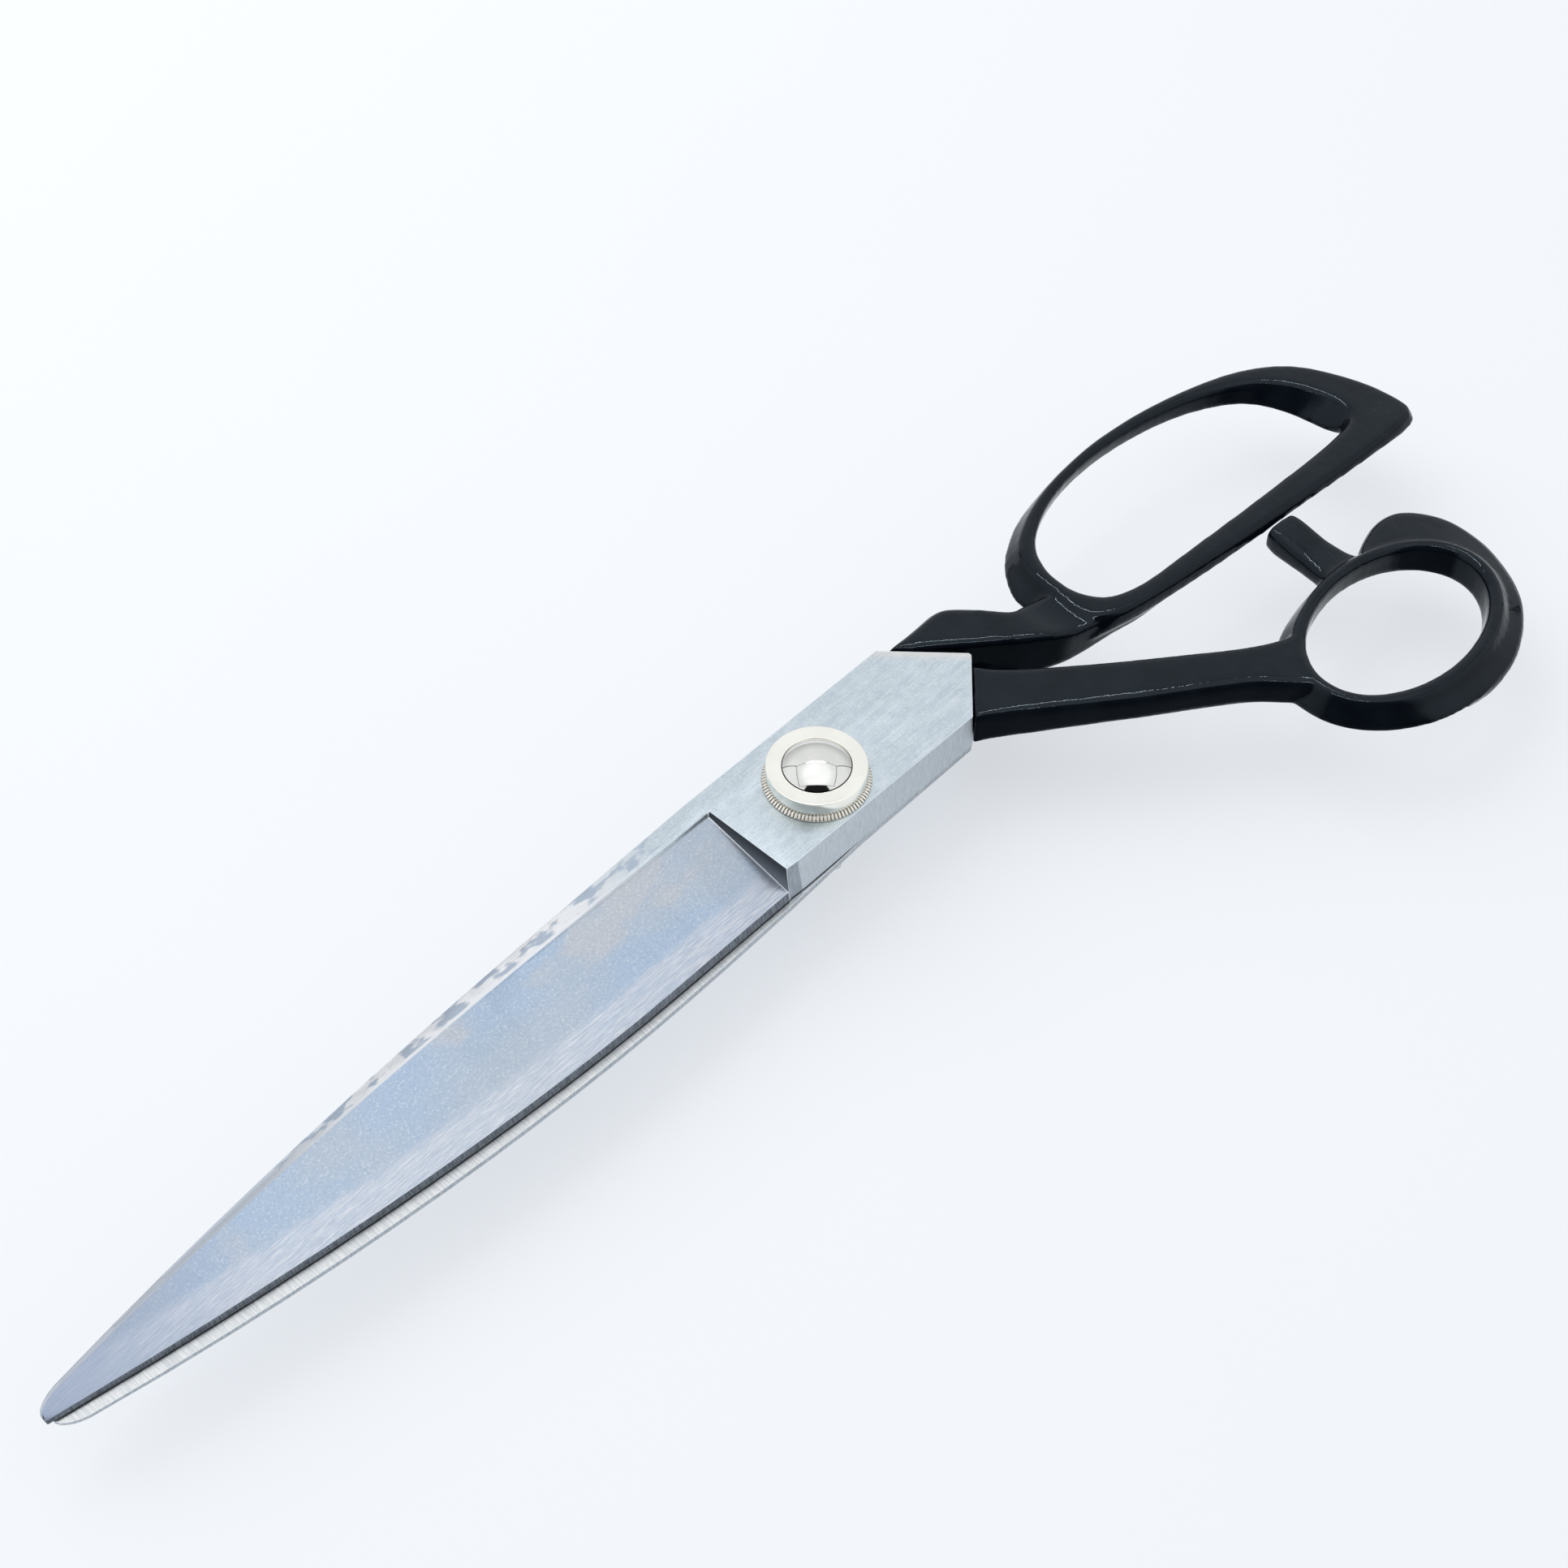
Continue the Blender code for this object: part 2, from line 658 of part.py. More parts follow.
def make_pivot_bolt(parts, cutters, parent, chrome):
    dome = []
    sphere = (HEAD_RADIUS**2 + DOME_RISE**2) / (2 * DOME_RISE)
    spread = math.asin(HEAD_RADIUS / sphere)
    for i in range(9):
        angle = spread * i / 8
        dome.append((sphere * math.sin(angle), COLLAR_TOP + DOME_RISE - sphere * (1 - math.cos(angle))))
    head_floor = RECESS_FLOOR + STACK_GAP
    profile = dome + [
        (HEAD_RADIUS, head_floor),
        (BOLT_RADIUS, head_floor),
        (BOLT_RADIUS, 0.4 - SHEAR_PLANE),
        (BOLT_RADIUS - 0.4, -SHEAR_PLANE),
        (0.0, -SHEAR_PLANE),
    ]
    bolt = turned("pivot_bolt", profile, parts)
    half = NECK_SIDE / 2
    square = [(-half, -half), (half, -half), (half, half), (-half, half)]
    neck = prism("bolt_neck", square, SHEAR_GAP, BLOCK_THICKNESS - STACK_GAP, cutters)
    combine(bolt, neck, "UNION", parent)
    return finish_part(bolt, chrome, parent)


def make_head_collar(parts, parent, nickel):
    bottom = BLOCK_THICKNESS + 2 * STACK_GAP + WASHER_THICKNESS
    bore = BOLT_RADIUS + FIXED_CLEARANCE
    profile = [
        (COLLAR_RADIUS - COLLAR_CHAMFER, COLLAR_TOP),
        (COLLAR_RADIUS, COLLAR_TOP - COLLAR_CHAMFER),
        (COLLAR_RADIUS, bottom),
        (bore, bottom),
        (bore, RECESS_FLOOR),
        (RECESS_RADIUS, RECESS_FLOOR),
        (RECESS_RADIUS, COLLAR_TOP),
    ]
    collar = turned("head_collar", profile, parts, closed=True)
    return finish_part(collar, nickel, parent)


def make_knurled_washer(parts, parent, nickel):
    """Washer whose rim and chamfer carry straight teeth."""
    base = BLOCK_THICKNESS + STACK_GAP
    top = base + WASHER_THICKNESS
    bore = BOLT_RADIUS + FIXED_CLEARANCE
    sections = []
    for i in range(2 * WASHER_TEETH):
        angle = math.pi * i / WASHER_TEETH
        cut = TOOTH_DEPTH * (i % 2)
        profile = [
            (WASHER_RADIUS - cut, base),
            (WASHER_RADIUS - cut, base + WASHER_RIM),
            (WASHER_TOP_RADIUS - cut, top),
            (bore, top),
            (bore, base),
        ]
        sections.append([(r * math.cos(angle), r * math.sin(angle), z) for r, z in profile])
    washer = loft("knurled_washer", sections, parts, closed=True)
    return finish_part(washer, nickel, parent)


def make_friction_washer(parts, parent, brass):
    top = -BLOCK_THICKNESS - STACK_GAP
    low = top - FRICTION_THICKNESS
    bore = BOLT_RADIUS + RUNNING_CLEARANCE
    profile = [
        (FRICTION_RADIUS - 0.15, top),
        (FRICTION_RADIUS, top - 0.15),
        (FRICTION_RADIUS, low + 0.15),
        (FRICTION_RADIUS - 0.15, low),
        (bore, low),
        (bore, top),
    ]
    return finish_part(turned("friction_washer", profile, parts, closed=True), brass, parent)


def make_spring_washer(parts, parent, spring_steel):
    """Conical spring washer, its wide rim against the friction washer."""
    top = -BLOCK_THICKNESS - 2 * STACK_GAP - FRICTION_THICKNESS
    cone = SPRING_HEIGHT - SPRING_SHEET
    bore = BOLT_RADIUS + RUNNING_CLEARANCE
    profile = [
        (SPRING_RADIUS, top),
        (SPRING_RADIUS, top - SPRING_SHEET),
        (bore, top - SPRING_SHEET - cone),
        (bore, top - cone),
    ]
    return finish_part(turned("spring_washer", profile, parts, closed=True), spring_steel, parent)


def make_tension_nut(parts, cutters, parent, steel):
    """Hexagon nut with turned chamfers on both faces."""
    low = TAIL_STUB - SHEAR_PLANE
    top = low + NUT_THICKNESS
    corner = NUT_ACROSS_FLATS / math.sqrt(3)
    chamfer = corner - NUT_ACROSS_FLATS / 2 + 0.1
    bm = bmesh.new()
    bmesh.ops.create_cone(
        bm, cap_ends=True, segments=6, radius1=corner * MM, radius2=corner * MM, depth=NUT_THICKNESS * MM
    )
    bmesh.ops.translate(bm, verts=bm.verts, vec=(0, 0, (low + top) / 2 * MM))
    nut = add_mesh("tension_nut", bm, parts)
    drop = chamfer * math.tan(math.radians(30))
    barrel_profile = [
        (0.0, top + 0.001),
        (corner - chamfer, top + 0.001),
        (corner + 0.05, top - drop),
        (corner + 0.05, low + drop),
        (corner - chamfer, low - 0.001),
        (0.0, low - 0.001),
    ]
    barrel = turned("nut_chamfers", barrel_profile, cutters, steps=72)
    combine(nut, barrel, "INTERSECT", parent)
    bore = BOLT_RADIUS + RUNNING_CLEARANCE
    bore_profile = [(0.0, top + 1.0), (bore, top + 1.0), (bore, low - 1.0), (0.0, low - 1.0)]
    combine(nut, turned("nut_bore", bore_profile, cutters), "DIFFERENCE", parent)
    return finish_part(nut, steel, parent)


# ---------------------------------------------------------------- assembly


def build():
    clear_scene()
    parts = make_collection("fabric_shears")
    cutters = make_collection("shears_cutters")
    finger_half = make_empty("finger_half_pivot", parts)
    thumb_half = make_empty("thumb_half_pivot", parts)
    nut_axis = make_empty("nut_axis", parts)
    nut_axis.parent = thumb_half
    nut_axis.location = (0.0, 0.0, 0.0)

    rear_steel = principled("rear_blade_steel", (0.62, 0.64, 0.66), 0.34, 1.0)
    finger_enamel = principled("finger_enamel", (0.012, 0.014, 0.018), 0.12, 0.0)
    brass = principled("friction_brass", (0.70, 0.55, 0.28), 0.35, 1.0)
    front_steel = principled("front_blade_steel", (0.60, 0.63, 0.69), 0.34, 1.0)
    thumb_enamel = principled("thumb_enamel", (0.012, 0.014, 0.018), 0.12, 0.0)
    chrome = principled("bolt_chrome", (0.80, 0.80, 0.76), 0.06, 1.0)
    collar_nickel = principled("collar_nickel", (0.86, 0.84, 0.76), 0.22, 1.0)
    washer_nickel = principled("washer_nickel", (0.80, 0.76, 0.66), 0.28, 1.0)
    spring_steel = principled("spring_steel", (0.42, 0.43, 0.45), 0.30, 1.0)
    nut_steel = principled("nut_steel", (0.70, 0.71, 0.70), 0.28, 1.0)

    make_rear_blade(parts, cutters, finger_half, rear_steel)
    make_rear_handle(parts, cutters, finger_half, finger_enamel)
    make_friction_washer(parts, finger_half, brass)
    make_front_blade(parts, cutters, thumb_half, front_steel)
    make_front_handle(parts, cutters, thumb_half, thumb_enamel)
    make_pivot_bolt(parts, cutters, thumb_half, chrome)
    make_head_collar(parts, thumb_half, collar_nickel)
    make_knurled_washer(parts, thumb_half, washer_nickel)
    make_spring_washer(parts, nut_axis, spring_steel)
    make_tension_nut(parts, cutters, nut_axis, nut_steel)


build()
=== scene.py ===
# Studio scene of the fabric shears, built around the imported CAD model.

import json
import math

import bmesh
import bpy
import numpy as np
from mathutils import Matrix, Vector, noise
from mathutils.bvhtree import BVHTree


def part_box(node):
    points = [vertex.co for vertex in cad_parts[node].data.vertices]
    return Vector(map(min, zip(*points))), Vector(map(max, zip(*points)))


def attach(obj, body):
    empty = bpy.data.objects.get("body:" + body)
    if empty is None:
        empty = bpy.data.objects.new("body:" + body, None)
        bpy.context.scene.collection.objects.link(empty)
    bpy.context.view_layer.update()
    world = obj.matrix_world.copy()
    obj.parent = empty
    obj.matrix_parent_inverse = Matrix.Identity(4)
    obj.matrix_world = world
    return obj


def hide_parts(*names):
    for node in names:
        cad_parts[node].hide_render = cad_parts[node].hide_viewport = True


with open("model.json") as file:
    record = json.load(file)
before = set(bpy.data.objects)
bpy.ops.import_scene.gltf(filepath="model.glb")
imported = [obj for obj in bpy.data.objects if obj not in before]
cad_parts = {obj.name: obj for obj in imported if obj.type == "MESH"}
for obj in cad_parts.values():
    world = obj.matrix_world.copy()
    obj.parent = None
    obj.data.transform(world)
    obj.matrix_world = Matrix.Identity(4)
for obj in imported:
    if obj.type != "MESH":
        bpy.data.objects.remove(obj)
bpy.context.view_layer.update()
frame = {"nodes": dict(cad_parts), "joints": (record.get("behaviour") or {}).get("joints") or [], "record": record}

MM = 0.001
PIVOT_Z = next(j["pos_m"][2] for j in frame["joints"] if j["name"] == "blade_pivot")

# Camera of the reference view
VIEW_FORWARD = Vector((0.4635, 0.4353, -0.7718))
VIEW_AHEAD = Vector((VIEW_FORWARD.x, VIEW_FORWARD.y, 0.0)).normalized()
VIEW_RIGHT = Vector((0.6846, -0.7290, 0.0))
VIEW_TARGET = Vector((-0.0002, 0.0072, PIVOT_Z))
VIEW_DISTANCE = 0.4364
VIEW_LENS = 59.6

# Far edge of the chevron at the rear of the upper block: its corner and its outward direction
CHEVRON_CORNER = (28.0, 12.1)
CHEVRON_OUT = (0.757, 0.653)

# Iron bows: grid of their surface, rounds of smoothing, and waves of (length, height) in mm
BOW_VOXEL = 0.42 * MM
BOW_SMOOTHING = 16
ENAMEL_WAVES = ((7.0, 0.05), (2.6, 0.018))

# The bows keep their corners beside the steel: how far along +X that is looked for, the gap at which
# the smoothing starts, the width over which it grows, and its least strength
SEAM_REACH = 52.0 * MM
SEAM_GAP = 0.4 * MM
SEAM_FADE = 2.6 * MM
SEAM_SMOOTHING = 0.12

# Front shank: its heading, the direction across it, and the offset of its near face along it in mm,
# as packed and flush with the block
SHANK_HEADING = np.array((0.795, -0.606))
SHANK_ACROSS = np.array((-0.606, -0.795))
SHANK_NEAR = ((29.6, 33.2, 39.3, 48.5, 57.8), (-6.2, -6.7, -7.7, -8.3, -8.4))
SHANK_FLUSH = ((28.5, 31.0, 36.0, 48.5, 57.8), (-8.7, -8.9, -8.9, -8.5, -8.4))
SHANK_END = 57.0
SHANK_DEPTH = 6.0

# Steel halves: eased edge, and spacing of the rows of points along the blade
BLADE_EASE = 0.14 * MM
BLADE_CUT = 2.5 * MM

# Colour painted as a reflection of the dark opening on polished pieces, and the opening's edges across the tent
# and upwards
PAINTED_OPENING_COLOUR = (0.02, 0.02, 0.02)
OPENING_ACROSS = -0.95
OPENING_UP = -2.3

# Narrow lamps along the edges of the tent's ceiling
STRIP_LENGTH = 0.36
STRIP_WIDTH = 0.009
STRIP_DISTANCE = 0.6
STRIP_RADIANCE = 55.0

# Soft lamp over the far side of the floor, and half the side of the floor, in metres
KEY_PLACE = (-0.05, 0.55, 0.62)
KEY_SIZE = 0.8
KEY_ENERGY = 4.2
FLOOR_REACH = 8.0


# ---------------------------------------------------------------- materials


class Graph:
    """Builds the node tree of one material, with lengths in millimetres about the frame's origin."""

    def __init__(self, name):
        self.material = bpy.data.materials.new(name)
        self.material.use_nodes = True
        self.tree = self.material.node_tree
        self.shader = self.tree.nodes["Principled BSDF"]
        coords = self.add("TexCoord", out="Object")
        to_mm = (1.0 / MM, 1.0 / MM, 1.0 / MM)
        self.place = self.add("VectorMath", {0: coords, 1: to_mm}, operation="MULTIPLY")
        split = self.tree.nodes.new("ShaderNodeSeparateXYZ")
        self.tree.links.new(self.place, split.inputs[0])
        self.x, self.y, self.z = split.outputs
        facing = self.tree.nodes.new("ShaderNodeSeparateXYZ")
        normal = self.add("TexCoord", out="Normal")
        self.tree.links.new(normal, facing.inputs[0])
        self.nx, self.ny, self.nz = facing.outputs

    def add(self, kind, inputs=None, out=0, **settings):
        node = self.tree.nodes.new("ShaderNode" + kind)
        for key, value in settings.items():
            setattr(node, key, value)
        for key, value in (inputs or {}).items():
            self.put(value, node.inputs[key])
        return node.outputs[out]

    def put(self, value, socket):
        if isinstance(value, bpy.types.NodeSocket):
            self.tree.links.new(value, socket)
        elif isinstance(value, tuple) and len(value) == 3 and socket.type == "RGBA":
            socket.default_value = (*value, 1.0)
        else:
            socket.default_value = value

    def math(self, operation, a, b=0.0):
        return self.add("Math", {0: a, 1: b}, operation=operation)

    def fade(self, value, low, high, start=0.0, end=1.0):
        """start at low, end at high, smooth between."""
        inputs = {0: value, 1: low, 2: high, 3: start, 4: end}
        return self.add("MapRange", inputs, interpolation_type="SMOOTHSTEP")

    def band(self, value, low, high, soft):
        """1 between low and high, falling to 0 within soft on both sides."""
        rise = self.fade(value, low - soft, low)
        fall = self.fade(value, high, high + soft, 1.0, 0.0)
        return self.math("MULTIPLY", rise, fall)

    def noise(self, stretch, detail=2.0, roughness=0.5, shift=0.0):
        """Noise with the given number of cells per millimetre along x, y and z."""
        inputs = {0: self.place, 1: stretch, 2: (shift, shift, shift)}
        place = self.add("VectorMath", inputs, operation="MULTIPLY_ADD")
        inputs = {"Vector": place, "Scale": 1.0, "Detail": detail, "Roughness": roughness}
        return self.add("TexNoise", inputs)

    def mix(self, fac, a, b):
        node = self.tree.nodes.new("ShaderNodeMix")
        node.data_type = "RGBA"
        self.put(fac, node.inputs[0])
        self.put(a, node.inputs[6])
        self.put(b, node.inputs[7])
        return node.outputs[2]

    def attribute(self, name):
        return self.add("Attribute", out="Fac", attribute_name=name)

    def bump(self, *layers):
        """Chains bumps of (height, depth in millimetres)."""
        normal = None
        for height, depth in layers:
            inputs = {"Height": height, "Distance": depth * MM, "Strength": 1.0}
            if normal is not None:
                inputs["Normal"] = normal
            normal = self.add("Bump", inputs)
        self.set("Normal", normal)

    def set(self, name, value):
        self.put(value, self.shader.inputs[name])

    def opening(self, low, high):
        """0 where a polished surface mirrors the dark opening with the camera, 1 elsewhere."""
        mirrored = self.add("TexCoord", out="Reflection")
        a, b, c = (
            self.add("VectorMath", {0: mirrored, 1: tuple(axis)}, out="Value", operation="DOT_PRODUCT")
            for axis in (VIEW_AHEAD, VIEW_RIGHT, Vector((0.0, 0.0, 1.0)))
        )
        b = self.math("ABSOLUTE", b, 0.0)
        across = self.math("SUBTRACT", self.math("MULTIPLY", a, OPENING_ACROSS), b)
        under = self.math("SUBTRACT", self.math("MULTIPLY", a, OPENING_UP), c)
        return self.fade(self.math("MINIMUM", across, under), low, high, 1.0, 0.0)


def enamel_material(name, heel, seam):
    """Thick glossy black enamel, with a painted dark reflection of the opening in its specular level, light specks
    about the heel point that are partly dusty wear and partly painted glints, and a brown edge at the seam.
    """
    g = Graph(name)
    g.set("IOR", 1.5)
    # Painted reflection and shade: the specular level drops where the enamel would mirror the dark opening, and is
    # a little lower on the walls than on the tops
    mirror = g.math("ADD", g.math("MULTIPLY", g.opening(-0.30, 0.10), 0.85), 0.15)
    g.set("Specular IOR Level", g.math("MULTIPLY", g.fade(g.nz, 0.2, 0.9, 0.20, 0.25), mirror))
    g.set("Specular Tint", (0.72, 0.88, 1.0))
    pits = g.noise((1.4, 1.4, 1.4), 3.0, 0.6)
    patches = g.noise((0.16, 0.16, 0.16), 2.0, 0.5, 31.0)
    # Light grey, rougher specks near the heel: partly dust and wear, partly painted glints
    away = g.add("VectorMath", {0: g.place, 1: tuple(heel)}, out="Value", operation="DISTANCE")
    near = g.fade(away, 8.0, 26.0, 1.0, 0.0)
    wear_and_glint_patches = g.math("MULTIPLY", g.fade(patches, 0.5, 0.62), near)
    dust_and_glint = g.math("MULTIPLY", g.fade(pits, 0.60, 0.70), g.math("MULTIPLY", wear_and_glint_patches, 0.25))
    film = g.fade(patches, 0.35, 0.75)
    colour = g.mix(film, (0.0018, 0.0030, 0.0050), (0.0034, 0.0052, 0.0080))
    colour = g.mix(dust_and_glint, colour, (0.05, 0.055, 0.06))
    stain = g.add("VectorMath", {0: g.place, 1: tuple(seam)}, out="Value", operation="DISTANCE")
    brown = g.math("MULTIPLY", g.fade(stain, 1.2, 3.4, 1.0, 0.0), g.fade(pits, 0.38, 0.58))
    colour = g.mix(brown, colour, (0.045, 0.028, 0.018))
    g.set("Base Color", colour)
    rough = g.math("ADD", g.math("MULTIPLY", film, 0.04), 0.05)
    rough = g.math("ADD", rough, g.math("MULTIPLY", dust_and_glint, 0.35))
    g.set("Roughness", rough)
    peel = g.noise((0.55, 0.55, 0.55), 2.0, 0.45, 7.0)
    fine = g.noise((2.2, 2.2, 2.2), 2.0, 0.5, 3.0)
    ripple = g.noise((0.9, 0.9, 0.9), 1.0, 0.4, 21.0)
    g.bump((peel, 0.06), (ripple, 0.02), (fine, 0.0015))
    return g.material


def steel_grain(g):
    """Lengthwise grinding lines: coarse, fine, and short cross scratches."""
    coarse = g.noise((0.10, 3.2, 0.8), 3.0, 0.6)
    fine = g.noise((0.35, 11.0, 2.0), 2.0, 0.6, 9.0)
    cross = g.noise((7.0, 0.25, 0.6), 2.0, 0.6, 17.0)
    return coarse, fine, cross


def upper_blade_material(shoulder):
    """Ground steel of the upper half: block, blade face, spine strip and walls; shoulder in mm."""
    g = Graph("steel_upper")
    g.set("Metallic", 1.0)
    edge = g.attribute("edge_gap")
    strip = g.attribute("strip")
    coarse, fine, cross = steel_grain(g)
    speck = g.noise((2.4, 2.4, 2.4), 2.0, 0.7, 5.0)
    cloud = g.noise((0.030, 0.055, 0.05), 2.0, 0.5, 2.0)
    cloud_2 = g.noise((0.045, 0.09, 0.05), 3.0, 0.55, 40.0)
    on_block = g.fade(g.x, shoulder - 0.4, shoulder + 0.2)
    up = g.fade(g.nz, 0.55, 0.8)
    # Block top: light, finely scratched, mottled
    mottle = g.noise((0.25, 0.5, 0.5), 3.0, 0.6, 12.0)
    top = g.mix(g.fade(mottle, 0.34, 0.68), (0.52, 0.60, 0.645), (0.61, 0.685, 0.73))
    top = g.mix(g.math("MULTIPLY", g.fade(fine, 0.45, 0.7), 0.3), top, (0.76, 0.81, 0.84))
    top = g.mix(g.math("MULTIPLY", g.fade(speck, 0.5, 0.68), 0.35), top, (0.80, 0.84, 0.86))
    top = g.mix(g.fade(speck, 0.30, 0.42, 0.4, 0.0), top, (0.42, 0.48, 0.53))
    scratch = g.noise((0.09, 4.2, 0.5), 2.0, 0.5, 61.0)
    top = g.mix(g.fade(scratch, 0.54, 0.68, 0.0, 0.3), top, (0.86, 0.90, 0.92))
    top = g.mix(g.fade(scratch, 0.30, 0.40, 0.25, 0.0), top, (0.48, 0.55, 0.60))
    rear = g.math("MULTIPLY", g.math("SUBTRACT", g.x, CHEVRON_CORNER[0]), CHEVRON_OUT[0])
    rear_y = g.math("MULTIPLY", g.math("SUBTRACT", g.y, CHEVRON_CORNER[1]), CHEVRON_OUT[1])
    rear = g.math("ADD", rear, rear_y)
    top = g.mix(g.fade(rear, -2.2, 0.0, 0.0, 0.55), top, (0.84, 0.76, 0.70))
    pits = g.noise((1.1, 1.1, 1.1), 1.0, 0.5, 71.0)
    top = g.mix(g.fade(pits, 0.76, 0.82, 0.0, 0.6), top, (0.25, 0.26, 0.28))
    # Face: bluish and beige clouds
    face = g.mix(g.fade(cloud, 0.42, 0.6), (0.36, 0.45, 0.565), (0.40, 0.46, 0.53))
    face = g.mix(g.fade(cloud_2, 0.5, 0.66, 0.0, 0.8), face, (0.47, 0.485, 0.51))
    # Darker towards the tip
    face = g.mix(g.fade(g.x, -150.0, -110.0, 0.55, 0.0), face, (0.30, 0.35, 0.45))
    face = g.mix(g.math("MULTIPLY", g.fade(speck, 0.52, 0.7), 0.45), face, (0.66, 0.68, 0.70))
    face = g.mix(g.fade(speck, 0.30, 0.42, 0.35, 0.0), face, (0.26, 0.30, 0.36))
    # Lighter ground band along the cutting edge
    band = g.fade(edge, 4.2, 6.4, 1.0, 0.0)
    band = g.math("MULTIPLY", band, g.fade(coarse, 0.36, 0.56, 0.35, 1.0))
    band_colour = g.mix(g.fade(fine, 0.4, 0.6), (0.42, 0.47, 0.55), (0.62, 0.64, 0.68))
    face = g.mix(band, face, band_colour)
    # Darker still towards the tip
    face = g.mix(g.fade(g.x, -158.0, -112.0, 0.8, 0.0), face, (0.27, 0.325, 0.43))
    # Spine strip: lighter ground steel, partly a painted sheen, darker towards the tip, with hand-ground scallops,
    # bumped, whose reflections are also painted in as darker patches
    on_strip = g.fade(strip, -0.15, 0.15)
    wave = g.noise((0.20, 0.42, 0.2), 2.0, 0.55, 55.0)
    scallops_and_reflections = g.math("MULTIPLY", g.fade(wave, 0.48, 0.58), g.band(g.x, -104.0, -30.0, 8.0))
    scallops_and_reflections = g.math("MULTIPLY", scallops_and_reflections, g.fade(strip, 0.35, 0.8))
    strip_colour = g.mix(g.fade(fine, 0.35, 0.65), (0.80, 0.82, 0.84), (0.92, 0.92, 0.92))
    strip_colour = g.mix(g.fade(g.x, -115.0, -85.0, 0.7, 0.0), strip_colour, (0.46, 0.52, 0.60))
    strip_colour = g.mix(g.fade(g.x, -50.0, -26.0), strip_colour, top)
    strip_colour = g.mix(scallops_and_reflections, strip_colour, (0.46, 0.53, 0.62))
    face = g.mix(on_strip, face, strip_colour)
    colour = g.mix(on_block, face, top)
    # Side walls
    side = g.mix(g.fade(cross, 0.36, 0.66), (0.47, 0.52, 0.56), (0.56, 0.61, 0.65))
    # Painted shade: off the block the walls are painted dark near the cutting edge; towards the spine they take
    # the strip's colour
    bevel = g.mix(g.fade(cross, 0.38, 0.62), (0.10, 0.115, 0.135), (0.20, 0.225, 0.26))
    bevel = g.mix(g.fade(edge, 1.0, 2.0), bevel, strip_colour)
    facet = g.band(g.x, shoulder + 0.3, shoulder + 2.8, 0.15)
    facet_colour = g.mix(g.fade(cross, 0.4, 0.62), (0.27, 0.31, 0.35), (0.38, 0.42, 0.46))
    side = g.mix(facet, side, facet_colour)
    side = g.mix(on_block, bevel, side)
    colour = g.mix(up, side, colour)
    # Eased edges of the block catch the light
    eased = g.math("MULTIPLY", g.band(g.nz, 0.3, 0.93, 0.04), on_block)
    colour = g.mix(eased, colour, (0.95, 0.97, 1.0))
    # Shoulder wall in shade
    ahead = g.fade(g.nx, -0.75, -0.55, 1.0, 0.0)
    wall = g.math("MULTIPLY", ahead, g.band(g.x, shoulder - 0.2, shoulder + 0.6, 0.3))
    height = g.fade(g.z, PIVOT_Z / MM + 2.0, PIVOT_Z / MM + 7.0)
    colour = g.mix(wall, colour, g.mix(height, (0.26, 0.29, 0.33), (0.08, 0.09, 0.105)))
    g.set("Base Color", colour)
    rough = g.math("ADD", g.math("MULTIPLY", coarse, 0.16), 0.24)
    rough = g.math("SUBTRACT", rough, g.math("MULTIPLY", g.math("MULTIPLY", on_strip, up), 0.06))
    g.set("Roughness", g.math("ADD", rough, g.math("MULTIPLY", eased, 0.3)))
    cross_up = g.math("MULTIPLY", cross, g.math("SUBTRACT", 1.0, up))
    g.bump((coarse, 0.010), (fine, 0.004), (cross_up, 0.02), (speck, 0.004), (scallops_and_reflections, 0.03))
    return g.material


def lower_blade_material():
    """Ground steel of the lower half: barred inner face, grey walls, bluish underside."""
    g = Graph("steel_lower")
    g.set("Metallic", 1.0)
    coarse, fine, cross = steel_grain(g)
    up = g.fade(g.nz, 0.55, 0.8)
    bars = g.noise((3.2, 0.2, 0.3), 3.0, 0.7, 23.0)
    top = g.mix(g.fade(bars, 0.38, 0.62), (0.66, 0.69, 0.70), (0.84, 0.85, 0.84))
    wall = g.mix(g.fade(cross, 0.4, 0.6), (0.34, 0.38, 0.42), (0.50, 0.54, 0.58))
    down = g.fade(g.nz, -0.8, -0.55, 1.0, 0.0)
    under = g.mix(g.fade(coarse, 0.4, 0.6), (0.50, 0.57, 0.66), (0.66, 0.70, 0.76))
    colour = g.mix(down, wall, under)
    g.set("Base Color", g.mix(up, colour, top))
    g.set("Roughness", g.math("ADD", g.math("MULTIPLY", coarse, 0.16), 0.24))
    cross_up = g.math("MULTIPLY", cross, g.math("SUBTRACT", 1.0, up))
    g.bump((coarse, 0.010), (fine, 0.004), (cross_up, 0.02))
    return g.material


def plated_material(name, light, dark, roughness, stain=None, polished=False):
    """Plated or polished metal with a faint turned grain, cloudy tone and stained grooves; polished ones get a
    painted reflection of the dark opening in their colour.
    """
    g = Graph(name)
    g.set("Metallic", 1.0)
    tone = g.noise((0.22, 0.22, 0.22), 2.0, 0.5, 4.0)
    fine = g.noise((3.0, 3.0, 3.0), 2.0, 0.6, 6.0)
    colour = g.mix(g.fade(tone, 0.35, 0.65), dark, light)
    if stain:
        amount, tint = stain
        colour = g.mix(g.math("MULTIPLY", g.attribute(amount), g.fade(fine, 0.25, 0.55)), colour, tint)
    if polished:
        # Painted reflection: near black where the surface would mirror the dark opening
        colour = g.mix(g.opening(-0.02, 0.06), PAINTED_OPENING_COLOUR, colour)
    g.set("Base Color", colour)
    g.set("Roughness", g.math("ADD", g.math("MULTIPLY", fine, roughness * 0.6), roughness * 0.7))
    g.bump((fine, 0.0015), (tone, 0.01))
    return g.material


# ---------------------------------------------------------------- geometry


